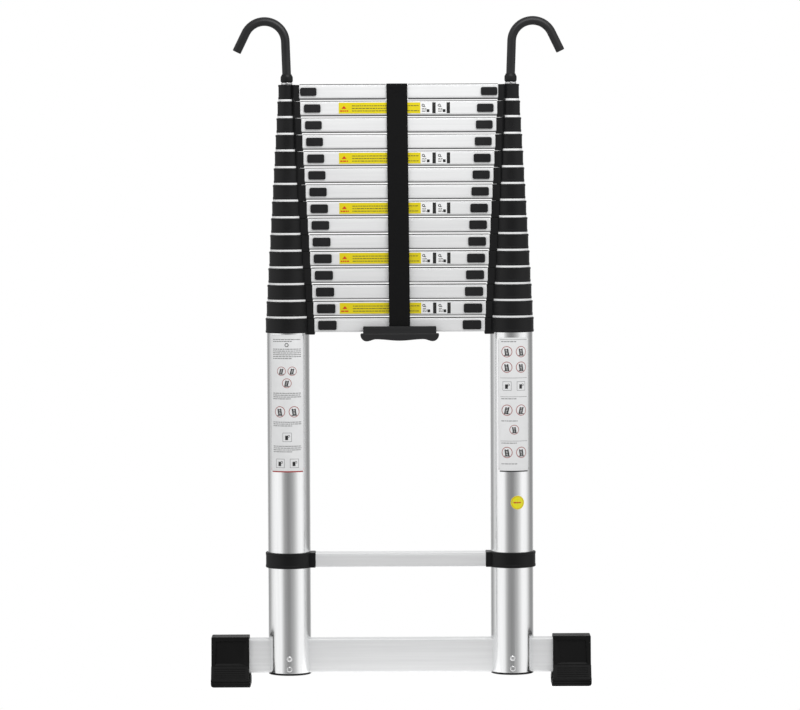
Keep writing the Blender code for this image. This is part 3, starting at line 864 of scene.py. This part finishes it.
def make_plug(side_name):
    """The rimmed plug in the lowest tube's foot."""
    node = f"tube_plug_{side_name}"
    low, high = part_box(node)
    rim, spigot = tube_radius(1), tube_radius(1) - TUBE_WALL - 0.0003
    seat = section_box(1)[0].z + TUBE_FOOT_LIFT - 0.0003
    foot = low.z + TUBE_FOOT_LIFT
    profile = [
        (0.0001, foot + 0.0012), (rim * 0.5, foot + 0.0012), (rim * 0.62, foot + 0.0002), (rim - 0.0014, foot),
        (rim - 0.0003, foot + 0.0006), (rim, foot + 0.0014), (rim, seat), (spigot, seat), (spigot, high.z),
        (0.0001, high.z),
    ]
    plug = lathe(profile, (SIDES[side_name] * TUBE_X, 0, 0), ROUND, False)
    piece(f"foot_plug_{side_name}", plug, COLLAR_PLASTIC, "base", [node])


make_bottom_rung()
make_stabilizer_bar()
for side_name in SIDES:
    make_clamp(side_name)
    make_foot(side_name)
    make_bolt(side_name)
    make_rivet(side_name)
    make_plug(side_name)


# Roof hooks

ROD_RADIUS = 0.008
BEND_RADIUS = 0.038
HOOK_SWEEP = math.radians(152)
HOOK_TAIL = 0.038
HOOK_LEAN = math.radians(2)
FERRULE_RADIUS = 0.0112
FERRULE_LOW_Z, FERRULE_HIGH_Z = 1.101, 1.116
PLUG_RADIUS = 0.0117
GROOVE_RADIUS = 0.0088


def swept(bm, stations, segments):
    """A round bar through stations of (centre, direction, radius). It bends only in the XZ plane."""
    rings = []
    for centre, direction, radius in stations:
        across = Vector((0, 1, 0))
        up = Vector(direction).normalized().cross(across)
        offsets = [math.cos(a) * across + math.sin(a) * up for a in turns(segments)]
        rings.append([bm.verts.new(Vector(centre) + radius * offset) for offset in offsets])
    band_faces(bm, rings)
    bm.faces.new(rings[0])
    bm.faces.new(rings[-1])
    return bm


def hook_stations(side_name):
    """Stations up the shank, round the bend and along the tail, leaning a little outwards."""
    side = SIDES[side_name]
    x = side * TUBE_X
    bend_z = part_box(f"hook_{side_name}")[1].z - BEND_RADIUS - ROD_RADIUS
    foot = Vector((x, 0, FERRULE_HIGH_Z - 0.003))
    stations = [((x, 0, height), (0, 0, 1), ROD_RADIUS) for height in (foot.z, bend_z - 0.02)]
    steps = 56
    for step in range(steps + 1):
        angle = HOOK_SWEEP * step / steps
        across, up = (1 - math.cos(angle)) * BEND_RADIUS, math.sin(angle) * BEND_RADIUS
        centre = Vector((x + side * across, 0, bend_z + up))
        direction = Vector((side * math.sin(angle), 0, math.cos(angle)))
        stations.append((centre, direction, ROD_RADIUS))
    for short, shrink in ((0.0011, 0), (0.0004, 0.0004), (0, 0.0012)):
        stations.append((centre + direction * (HOOK_TAIL - short), direction, ROD_RADIUS - shrink))
    lean = Matrix.Rotation(side * HOOK_LEAN, 3, "Y")
    return [(foot + lean @ (Vector(c) - foot), lean @ Vector(d), radius) for c, d, radius in stations]


def ferrule_profile():
    """The moulded sleeve round a hook's shank, with a rounded shoulder."""
    f, low, high = FERRULE_RADIUS, FERRULE_LOW_Z, FERRULE_HIGH_Z
    return [
        (0.0040, low), (f - 0.0022, low), (f - 0.0008, low + 0.0010), (f, low + 0.0032), (f, low + 0.0095),
        (f - 0.0006, low + 0.0116), (f - 0.0016, low + 0.0128), (f - 0.0018, high - 0.0006), (f - 0.0023, high),
        (0.0040, high),
    ]


def bearing_profile(pin_z, top):
    """The turned plug in the top tube, with the groove that the top lock pins run in."""
    foot, groove = pin_z - 0.0097, 0.0044
    return [
        (0.0001, foot), (PLUG_RADIUS - 0.0006, foot), (PLUG_RADIUS, foot + 0.0006), (PLUG_RADIUS, pin_z - groove),
        (GROOVE_RADIUS, pin_z - groove + 0.0003), (GROOVE_RADIUS, pin_z + groove - 0.0003),
        (PLUG_RADIUS, pin_z + groove), (PLUG_RADIUS, top), (0.0001, top),
    ]


def make_hook(side_name):
    """A bent rod with its ferrule, the washer under it, and the plug that it turns on."""
    node = f"hook_{side_name}"
    rod = swept(bmesh.new(), hook_stations(side_name), 32)
    piece(f"hook_rod_{side_name}", rod, HOOK_COATING, node, [node])
    place = (SIDES[side_name] * TUBE_X, 0, 0)
    ferrule = lathe(ferrule_profile(), place, 48)
    piece(f"hook_ferrule_{side_name}", ferrule, COLLAR_PLASTIC, node, angle=50)
    pin_z = rung_z(SECTION_COUNT)
    seat = pin_z + COLLAR_HALF_HEIGHT + 0.0003
    washer = lathe(rounded_profile(0.0040, FERRULE_RADIUS - 0.001, seat, FERRULE_LOW_Z - 0.0002, 0.0004), place, 48)
    piece(f"hook_washer_{side_name}", washer, STEEL, node)
    bearing = lathe(bearing_profile(pin_z, seat - 0.0001), place, 48, False)
    piece(f"hook_bearing_{side_name}", bearing, GRIP_PLASTIC, node)


for side_name in SIDES:
    make_hook(side_name)


# Strap and carry handle

STRAP_SLACK = 0.0004
STRAP_THICKNESS = 0.0016
STRAP_HALF_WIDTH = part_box("strap")[1].x
RIB_PITCH = 0.0016
RIB_HEIGHT = 0.00022
HANDLE_LOW, HANDLE_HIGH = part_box("carry_handle")


def along_path(points, step):
    """Points spaced evenly by step along a polyline of (y, z)."""
    placed = [Vector(points[0])]
    left = step
    for a, b in zip(points, points[1:]):
        a, b = Vector(a), Vector(b)
        length = (b - a).length
        at = left
        while at <= length:
            placed.append(a.lerp(b, at / length))
            at += step
        left = at - length
    return placed


STRAP_OFFSET_Y = RUNG_HALF_DEPTH + STRAP_SLACK + STRAP_THICKNESS / 2
STRAP_OFFSET_Z = RUNG_HALF_HEIGHT + STRAP_SLACK + STRAP_THICKNESS / 2
STRAP_OUTER_Y = STRAP_OFFSET_Y + STRAP_THICKNESS + 0.0001
STRAP_END_Z = HANDLE_HIGH.z - 0.0012


def strap_path(z):
    """The webbing's middle line as (y, z): its tucked end, once round the rung, and down to the handle."""
    d, h, out = STRAP_OFFSET_Y, STRAP_OFFSET_Z, STRAP_OUTER_Y
    r = 0.0026
    handle_y = (HANDLE_LOW.y + HANDLE_HIGH.y) / 2
    path = [(-d, z + 0.008)]
    path += arc((-d + r, z - h + r), r, 180, 270, 8)
    path += arc((d - r, z - h + r), r, -90, 0, 8)
    path += arc((d - r, z + h - r), r, 0, 90, 8)
    path += arc((-out + r, z + h - r), r, 90, 180, 8)
    path += [(-out, z - h * 0.4), (-out, z - h - 0.002)]
    for step in range(1, 17):
        share = step / 16
        ease = share * share * (3 - 2 * share)
        path.append((-out + (handle_y + out) * ease, z - h - 0.002 - (z - h - 0.002 - STRAP_END_Z) * share))
    return path


def webbing_rows(bm, points, span):
    """Rows of (front, back) vertices: ribs between thinner selvedges. The sway dies out down the hanging span."""
    columns, selvedge = 14, 2
    tangents = [(b - a).normalized() for a, b in zip(points, points[1:])]
    tangents.append(tangents[-1])
    rows = []
    for index, (point, tangent) in enumerate(zip(points, tangents)):
        normal = Vector((-tangent.y, tangent.x))
        wave = math.cos(math.tau * (index % 4) / 4)
        front, back = [], []
        for column in range(columns + 1):
            edge = min(column, columns - column)
            share = -1 + 2 * column / columns
            if edge < selvedge:
                share = math.copysign(1 - edge * 0.045, share)
            half = STRAP_THICKNESS / 2 * (0.55 if edge == 0 else 0.9 if edge == 1 else 1.0)
            rib = 0 if edge < selvedge else RIB_HEIGHT / 2 * (wave - 1)
            x = share * STRAP_HALF_WIDTH - STRAP_SWAY * (point.y - STRAP_END_Z) / span
            for side, made in ((1, front), (-1, back)):
                offset = side * (half + rib)
                made.append(bm.verts.new((x, point.x + normal.x * offset, point.y + normal.y * offset)))
        rows.append((front, back))
    return rows


def make_strap():
    """One length of ribbed webbing, once round the top rung and down to the handle."""
    z = rung_z(SECTION_COUNT)
    points = along_path(strap_path(z), RIB_PITCH / 4)
    bm = bmesh.new()
    rows = webbing_rows(bm, points, z - STRAP_OFFSET_Z - 0.002 - STRAP_END_Z)
    band_faces(bm, [front + back[::-1] for front, back in rows])
    for ends in (rows[0], rows[-1]):
        band_faces(bm, ends, False)
    strap = shaded("strap_webbing", bm, WEBBING, 60)
    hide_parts("strap", "strap_eye")
    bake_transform(strap)


def make_stitching():
    """The crossed box of stitches that closes the strap's eye in front of the top rung."""
    z = rung_z(SECTION_COUNT)
    stitches = bmesh.new()
    front = -STRAP_OUTER_Y - STRAP_THICKNESS / 2
    half, heights = STRAP_HALF_WIDTH - 0.0035, (z + 0.0075, z - 0.0085)
    corners = [Vector((x - STRAP_SWAY, front, height)) for x in (-half, half) for height in heights]
    for a, b in combinations(corners, 2):
        count = round((b - a).length / 0.0026)
        for step in range(count):
            rod_between(stitches, a.lerp(b, (step + 0.12) / count), a.lerp(b, (step + 0.82) / count), 0.00028, 6)
    piece("strap_stitching", stitches, WEBBING, "section_15")


def handle_outline():
    """The grip's front view: shoulders, flared round lobes, and an underside that waves for the fingers."""
    top, low = HANDLE_HIGH.z - 0.0128, HANDLE_LOW.z
    wide = HANDLE_HIGH.x
    lobe_x, peak_x = 0.060, 0.043
    right = [(wide - 0.0016, top), (wide - 0.0004, top - 0.0006), (wide, top - 0.0020)]
    for step in range(1, 9):
        angle = math.radians(90 * step / 8)
        right.append((
            lobe_x + (wide - lobe_x) * math.cos(angle), low + (top - 0.0020 - low) * (1 - math.sin(angle))
        ))
    for step in range(1, 9):
        share = step / 8
        right.append((lobe_x + (peak_x - lobe_x) * share, low + 0.0037 * (1 - math.cos(math.pi * share)) / 2))
    for step in range(1, 11):
        share = step / 10
        right.append((peak_x * (1 - share), low + 0.0010 + 0.0027 * (1 + math.cos(math.pi * share)) / 2))
    left = [(-a, b) for a, b in reversed(right[:-1])]
    return right + left


def make_handle():
    """A T-shaped grip: a flat plate over a rounder bar, with a framed slot for the strap."""
    plate_half = 0.0665
    body = extruded(handle_outline(), "Y", HANDLE_LOW.y, HANDLE_HIGH.y, 0.0032, 4)
    made = piece("handle_grip", body, GRIP_PLASTIC, "carry_handle", ["carry_handle"], angle=50)
    plate_faces = (HANDLE_LOW.y + 0.0006, HANDLE_HIGH.y - 0.0006)
    outline = rounded_rectangle(-plate_half, plate_half, HANDLE_HIGH.z - 0.018, HANDLE_HIGH.z, 0.0012, 3)
    plate = extruded(outline, "Y", *plate_faces, 0.0009, 3)
    for front in plate_faces:
        for z in (0.0042, 0.0084):
            for side in SIDES.values():
                ends = [(side * x, front, HANDLE_HIGH.z - z) for x in (0.028, 0.060)]
                rod_between(plate, *ends, 0.0005, 10)
    top_plate = shaded("plate", plate, GRIP_PLASTIC)
    middle, half = sum(plate_faces) / 2, STRAP_HALF_WIDTH + 0.001
    cut(top_plate, [box_cutter(
        (-half, middle - 0.0032, HANDLE_HIGH.z - 0.010), (half, middle + 0.0032, HANDLE_HIGH.z + 0.002)
    )])
    frames = bmesh.new()
    for front, y in zip((-1, 1), plate_faces):
        outline = rounded_rectangle(-0.0245, 0.0245, HANDLE_HIGH.z - 0.0062, HANDLE_HIGH.z - 0.0006, 0.0016, 3)
        extruded(outline, "Y", *sorted((y, y + front * 0.0006)), 0.0002, 1, bm=frames)
    joined(made, [top_plate, shaded("frame", frames, GRIP_PLASTIC)])


make_strap()
make_stitching()
make_handle()


# Stickers, which carry only plain bars, rings and squares

FILM = 0.00012
INK = 0.00005


def flat_place(y):
    """Puts (across, height, rise) of a sticker on a flat front."""
    return lambda u, v, rise: (u, y - rise, v)


def round_place(x, radius):
    """Puts (across, height, rise) of a sticker round the front of an upright tube."""
    return lambda u, v, rise: (
        x + (radius + rise) * math.sin(u / radius), -(radius + rise) * math.cos(u / radius), v
    )


def add_patch(bm, place, u_low, u_high, v_low, v_high, rise, corner=0.0):
    """A thin patch, cut into strips narrow enough to follow a tube, with its lower and upper corners rounded."""
    count = max(1, math.ceil((u_high - u_low) / 0.003))
    pairs = []
    for step in range(count + 1):
        u = u_low + (u_high - u_low) * step / count
        near = min(u - u_low, u_high - u)
        inset = corner - math.sqrt(max(corner**2 - (corner - near) ** 2, 0)) if near < corner else 0
        pairs.append([bm.verts.new(place(u, v, rise)) for v in (v_low + inset, v_high - inset)])
    for a, b in zip(pairs, pairs[1:]):
        bm.faces.new((a[0], b[0], b[1], a[1]))


def add_ring(bm, place, u, v, radius, width, rise):
    """A flat printed ring."""
    band_faces(bm, [
        [bm.verts.new(place(u + r * math.cos(angle), v + r * math.sin(angle), rise)) for angle in turns(28)]
        for r in (radius - width, radius)
    ])


def add_disc(bm, place, u, v, radius, rise):
    """A round patch, built in level strips so that it follows a tube."""
    strips = 16
    for step in range(strips):
        low, high = (-1 + 2 * step / strips), (-1 + 2 * (step + 1) / strips)
        for left in (-1, -0.5, 0, 0.5):
            verts = []
            for level, share in ((low, left), (low, left + 0.5), (high, left + 0.5), (high, left)):
                across = share * math.sqrt(max(1 - level**2, 0))
                verts.append(bm.verts.new(place(u + across * radius, v + level * radius, rise)))
            bm.faces.new(verts)


def add_bars(bm, place, u_low, u_high, v, height, rise, seed):
    """A bar broken into dashes, as a stand-in for a line of small print."""
    u = u_low
    step = seed
    while u < u_high - 0.0015:
        step = (step * 73 + 41) % 101
        length = min(0.0022 + 0.0045 * step / 101, u_high - u)
        add_patch(bm, place, u, u + length, v - height / 2, v + height / 2, rise)
        u += length + 0.0009


def add_sign(rings, glyphs, place, u, v, radius, rise, kind):
    """A plain ring round a small ladder-like or stepped glyph."""
    add_ring(rings, place, u, v, radius, radius * 0.13, rise)
    lean = 0.25 if kind % 2 else -0.15
    for rail in (-0.28, 0.24):
        for part in range(6):
            v_mid = -0.55 + part * 0.2
            middle = u + radius * (rail + lean * v_mid)
            add_patch(glyphs, place, middle - radius * 0.11, middle + radius * 0.11,
                      v + radius * (v_mid - 0.1), v + radius * (v_mid + 0.1), rise)
    for rung in range(4):
        v_mid = -0.45 + rung * 0.27
        middle = u + radius * lean * v_mid
        add_patch(glyphs, place, middle - radius * 0.26, middle + radius * 0.24,
                  v + radius * (v_mid - 0.08), v + radius * (v_mid + 0.08), rise)
    add_patch(glyphs, place, u - radius * 0.5, u + radius * 0.5, v - radius * 0.72, v - radius * 0.58, rise)


def finish_sticker(name, parts, body):
    """Joins the films and inks of one sticker into a piece, keeping each one's material."""
    bm = bmesh.new()
    mesh = bpy.data.meshes.new(name)
    for index, (part, material) in enumerate(parts):
        for face in part.faces:
            face.material_index = index
        scratch = bpy.data.meshes.new("scratch")
        part.to_mesh(scratch)
        part.free()
        bm.from_mesh(scratch)
        bpy.data.meshes.remove(scratch)
        mesh.materials.append(material)
    bm.to_mesh(mesh)
    bm.free()
    made = bpy.data.objects.new(name, mesh)
    bpy.context.scene.collection.objects.link(made)
    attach(made, body)


STRIP_SECTIONS = (2, 5, 8, 11, 14)


def make_strip(section):
    """A yellow strip and a white panel across a rung's front."""
    place = flat_place(-RUNG_HALF_DEPTH)
    z = rung_z(section) + 0.0004
    half = 0.0099
    yellow, white, red, grey, black = (bmesh.new() for _ in range(5))
    add_patch(yellow, place, -0.109, 0.0393, z - half, z + half, FILM)
    add_patch(white, place, 0.0393, 0.0942, z - half, z + half, FILM)
    rise = FILM + INK
    corners = [(-0.1040, z - 0.0012), (-0.0950, z - 0.0012), (-0.0995, z + 0.0042)]
    red.faces.new([red.verts.new(place(u, v, rise)) for u, v in corners])
    add_bars(red, place, -0.1065, -0.0915, z - 0.0052, 0.0024, rise, 7 + section)
    for row, (height, end) in enumerate(((0.0040, 0.036), (-0.0006, 0.018), (-0.0052, 0.037))):
        add_bars(grey, place, -0.0850, end, z + height, 0.0013, rise, 13 * section + row)
    for u in (0.0608, 0.0868):
        add_patch(black, place, u, u + 0.0062, z - half, z + half, rise)
        add_patch(grey, place, u + 0.0022, u + 0.0040, z + 0.0030, z + 0.0052, rise + INK)
    for u in (0.0408, 0.0700):
        add_ring(black, place, u + 0.0034, z + 0.0046, 0.0027, 0.0013, rise)
        add_patch(black, place, u + 0.0098, u + 0.0148, z - 0.0078, z - 0.0026, rise)
        add_patch(black, place, u + 0.0050, u + 0.0074, z + 0.0016, z + 0.0030, rise)
        for row in range(3):
            add_bars(grey, place, u + 0.0012, u + 0.0092, z - 0.0012 - 0.0026 * row, 0.0012, rise, row + section)
    parts = [(yellow, YELLOW_FILM), (white, WHITE_FILM), (red, RED_INK), (grey, TEXT_INK), (black, BLACK_INK)]
    finish_sticker(f"rung_sticker_{section:02d}", parts, body_of_section(section))


# Places across a label, and the size, of one sign, a pair, and a pair of large ones
SIGN_ROWS = {1: ((0,), 0.0088), 2: ((-0.0100, 0.0100), 0.0084), 3: ((-0.0134, 0.0134), 0.0102)}


def add_square(frame_ink, glyph_ink, place, u, v, rise):
    """A thin square frame round a small block and a ring."""
    s, line = 0.0082, 0.0006
    for edge in (-s, s - line):
        add_patch(frame_ink, place, u - s, u + s, v + edge, v + edge + line, rise)
        add_patch(frame_ink, place, u + edge, u + edge + line, v - s, v + s, rise)
    add_patch(glyph_ink, place, u - 0.0035, u + 0.0018, v - 0.0050, v + 0.0030, rise)
    add_ring(glyph_ink, place, u + 0.0030, v + 0.0020, 0.0022, 0.0009, rise)


def make_label(side_name, first, last, low, high, edge_ink, rows):
    """A printed panel round the front of a lowest tube, between two angles in degrees."""
    radius = tube_radius(1)
    place = round_place(SIDES[side_name] * TUBE_X, radius)
    u_low, u_high = radius * math.radians(first), radius * math.radians(last)
    middle = (u_low + u_high) / 2
    film, rings, grey, black, edge = [bmesh.new() for _ in range(5)]
    add_patch(film, place, u_low, u_high, low, high, FILM, 0.004)
    rise = FILM + INK
    add_patch(edge, place, u_low + 0.0025, u_high - 0.0025, low, low + 0.0022, rise)
    for u in (u_low, u_high - 0.0008):
        add_patch(edge, place, u, u + 0.0008, low + 0.0035, low + 0.0075, rise)
        add_patch(grey, place, u, u + 0.0003, low + 0.0075, high - 0.004, rise)
    seed = 5
    for kind, height, size in rows:
        v = low + (high - low) * height
        if kind == "lines":
            for row in range(size):
                seed += 9
                end = u_high - 0.006 - (0.018 if row == size - 1 else 0)
                add_bars(grey, place, u_low + 0.006, end, v - 0.0034 * row, 0.0013, rise, seed)
        elif kind == "rule":
            add_patch(grey, place, u_low + 0.004, u_high - 0.004, v - 0.0003, v + 0.0003, rise)
        elif kind == "signs":
            places, sign_radius = SIGN_ROWS[size]
            for index, shift in enumerate(places):
                add_sign(rings, black, place, middle + shift, v, sign_radius, rise, index + seed)
                seed += 1
        elif kind == "squares":
            for shift in (0,) if size == 1 else (-0.0132, 0.0132):
                add_square(grey, black, place, middle + shift, v, rise)
        elif kind == "dot":
            add_ring(black, place, middle, v, 0.0036, 0.0012, rise)
    parts = [(film, WHITE_FILM), (rings, PINK_INK), (grey, LABEL_INK), (black, BLACK_INK), (edge, edge_ink)]
    finish_sticker(f"tube_label_{side_name}", parts, "base")


ROUND_STICKER_ACROSS = 0.0098
ROUND_STICKER_Z = 0.3365
ROUND_STICKER_RADIUS = 0.0128


def make_round_sticker():
    """A yellow disc with a red rim line and a red bar, on the right lowest tube. Its yellow is brightened as painted
    light.
    """
    place = round_place(TUBE_X, tube_radius(1))
    film, red = bmesh.new(), bmesh.new()
    u, v = ROUND_STICKER_ACROSS, ROUND_STICKER_Z
    add_disc(film, place, u, v, ROUND_STICKER_RADIUS, FILM)
    add_bars(red, place, u - 0.0075, u + 0.0075, v, 0.0022, FILM + INK, 3)
    add_ring(red, place, u, v, ROUND_STICKER_RADIUS - 0.0014, 0.0004, FILM + INK)
    finish_sticker("round_sticker", [(film, ROUND_STICKER_PAINTED_LIGHT_YELLOW), (red, RED_INK)], "base")


for number in STRIP_SECTIONS:
    make_strip(number)
LEFT_ROWS = [
    ("lines", 0.965, 2), ("dot", 0.925, 1), ("lines", 0.895, 6), ("signs", 0.735, 2), ("signs", 0.648, 1),
    ("lines", 0.575, 4), ("signs", 0.440, 3), ("lines", 0.365, 3), ("squares", 0.255, 1), ("lines", 0.190, 4),
    ("squares", 0.065, 2),
]
RIGHT_ROWS = [
    ("rule", 0.985, 1), ("lines", 0.970, 1), ("signs", 0.895, 3), ("signs", 0.780, 3), ("rule", 0.700, 1),
    ("squares", 0.640, 2), ("rule", 0.560, 1), ("lines", 0.545, 1), ("signs", 0.460, 3), ("lines", 0.380, 1),
    ("signs", 0.315, 1), ("rule", 0.230, 1), ("lines", 0.215, 1), ("signs", 0.145, 3), ("lines", 0.060, 1),
]
make_label("left", -52, 46, 0.3935, 0.6440, EDGE_RED, LEFT_ROWS)
make_label("right", -38.5, 50, 0.3925, 0.6370, BLACK_INK, RIGHT_ROWS)
make_round_sticker()


def soften_corners():
    """Weights normals by face size, so that flat faces stay flat beside their rounded edges."""
    for made in bpy.data.objects:
        if made.type == "MESH" and made.name not in frame["nodes"]:
            weigh = made.modifiers.new("weighted", "WEIGHTED_NORMAL")
            weigh.keep_sharp = True
            weigh.weight = 60


soften_corners()


# Floor, light and camera

FLOOR_HALF_WIDTH = 0.44
FLOOR_HALF_DEPTH = 0.11
FLOOR_FADE_FROM = 0.80


def make_stage():
    """An oval white floor whose rim fades into the white surroundings."""
    bm = bmesh.new()
    circle = bmesh.ops.create_circle(bm, cap_ends=True, segments=96, radius=1)["verts"]
    bmesh.ops.scale(bm, vec=(FLOOR_HALF_WIDTH, FLOOR_HALF_DEPTH, 1), verts=circle)
    made, tree = new_material("floor_white")
    place = add_node(tree, "TexCoord", {}, "Object")
    scale = (1 / FLOOR_HALF_WIDTH, 1 / FLOOR_HALF_DEPTH, 1)
    share = add_node(tree, "Mapping", {"Vector": place, "Scale": scale}, "Vector")
    length = add_node(tree, "VectorMath", {0: share}, "Value", operation="LENGTH")
    fade = {"Value": length, "From Min": FLOOR_FADE_FROM, "From Max": 0.98, "To Min": 1.0, "To Max": 0.0}
    finish_material(tree, {
        "Base Color": (0.35, 0.35, 0.35, 1), "Roughness": 0.8, "Specular IOR Level": 0.0,
        "Emission Color": (1, 1, 1, 1), "Emission Strength": 0.95,
        "Alpha": add_node(tree, "MapRange", fade, "Result", interpolation_type="SMOOTHSTEP"),
    })
    floor = shaded("floor", bm, made)


def make_softbox():
    """A soft panel above and a little to the right of the front, turned down towards the upper rungs."""
    angle, distance = math.radians(14), 0.95
    place = Vector((distance * math.sin(angle), -distance * math.cos(angle), 1.95))
    data = bpy.data.lights.new("top_softbox", "AREA")
    data.shape = "RECTANGLE"
    data.size, data.size_y = 1.2, 0.5
    data.energy = 12.5
    light = bpy.data.objects.new("top_softbox", data)
    light.location = place
    light.rotation_euler = (place - Vector((0, 0, 1.1))).to_track_quat("Z", "Y").to_euler()
    bpy.context.scene.collection.objects.link(light)


# Brightness of the surroundings by azimuth in degrees from the front, negative to the left
SURROUNDINGS = [
    (-180, 0.98), (-162, 0.88), (-148, 0.38), (-132, 0.32), (-119, 0.50), (-104, 0.80), (-92, 0.95), (-80, 1.02),
    (-44, 1.02), (-32, 0.55), (-20, 0.31), (-4, 0.245), (8, 0.28), (20, 0.40), (34, 0.60), (46, 0.86), (54, 1.02),
    (80, 1.02), (93, 0.74), (105, 0.46), (117, 0.30), (136, 0.28), (152, 0.50), (164, 0.88), (180, 0.98),
]
SKY_LEVEL = 0.62
GROUND_LEVEL = 0.58


def half_grey(value):
    """Half a brightness as a colour. The background's strength of 2 restores it."""
    return (value / 2, value / 2, value / 2, 1)


def make_world():
    """White to the camera. Lights and reflections come from soft panels left and right, and darkness in front."""
    world = bpy.data.worlds.new("studio")
    bpy.context.scene.world = world
    world.use_nodes = True
    tree = world.node_tree
    shown = tree.nodes["Background"]
    set_inputs(tree, shown, {"Color": (1, 1, 1, 1)})
    split = tree.nodes.new("ShaderNodeSeparateXYZ")
    set_inputs(tree, split, {"Vector": add_node(tree, "TexCoord", {}, "Generated")})
    x, y, z = split.outputs
    back = add_node(tree, "Math", {0: y, 1: -1}, "Value", operation="MULTIPLY")
    turn = add_node(tree, "Math", {0: x, 1: back}, "Value", operation="ARCTAN2")
    share = add_node(tree, "MapRange", {"Value": turn, "From Min": -math.pi, "From Max": math.pi}, "Result")
    around = tree.nodes.new("ShaderNodeValToRGB")
    elements = around.color_ramp.elements
    while len(elements) > 1:
        elements.remove(elements[-1])
    for index, (azimuth, value) in enumerate(SURROUNDINGS):
        element = elements[0] if index == 0 else elements.new((azimuth + 180) / 360)
        element.position = (azimuth + 180) / 360
        element.color = half_grey(value)
    set_inputs(tree, around, {"Fac": share})
    level = around.outputs["Color"]
    for start, end, value in ((0.30, 0.75, SKY_LEVEL), (-0.14, -0.45, GROUND_LEVEL)):
        limits = {"Value": z, "From Min": start, "From Max": end}
        weight = add_node(tree, "MapRange", limits, "Result", interpolation_type="SMOOTHSTEP")
        mix = tree.nodes.new("ShaderNodeMix")
        mix.data_type = "RGBA"
        tree.links.new(weight, mix.inputs["Factor"])
        tree.links.new(level, mix.inputs["A"])
        mix.inputs["B"].default_value = half_grey(value)
        level = mix.outputs["Result"]
    lit = add_node(tree, "Background", {"Color": level, "Strength": 2}, "Background")
    seen = add_node(tree, "LightPath", {}, "Is Camera Ray")
    both = add_node(tree, "MixShader", {"Fac": seen, 1: lit, 2: shown.outputs["Background"]}, "Shader")
    set_inputs(tree, tree.nodes["World Output"], {"Surface": both})


CAMERA_PLACE = (0, -7.5, 1.0)
CAMERA_LENS = 185.2
CAMERA_SHIFT = 0.0014
CAMERA_DIP = 3.02
CAMERA_ROLL = 0.25


def make_camera():
    data = bpy.data.cameras.new("camera")
    data.lens = CAMERA_LENS
    data.shift_x = CAMERA_SHIFT
    data.clip_end = 60
    camera = bpy.data.objects.new("camera", data)
    camera.location = CAMERA_PLACE
    camera.rotation_euler = (math.radians(90 - CAMERA_DIP), math.radians(CAMERA_ROLL), 0)
    bpy.context.scene.collection.objects.link(camera)
    bpy.context.scene.camera = camera


make_stage()
make_world()
make_softbox()
make_camera()
bpy.context.scene.view_settings.view_transform = "Standard"
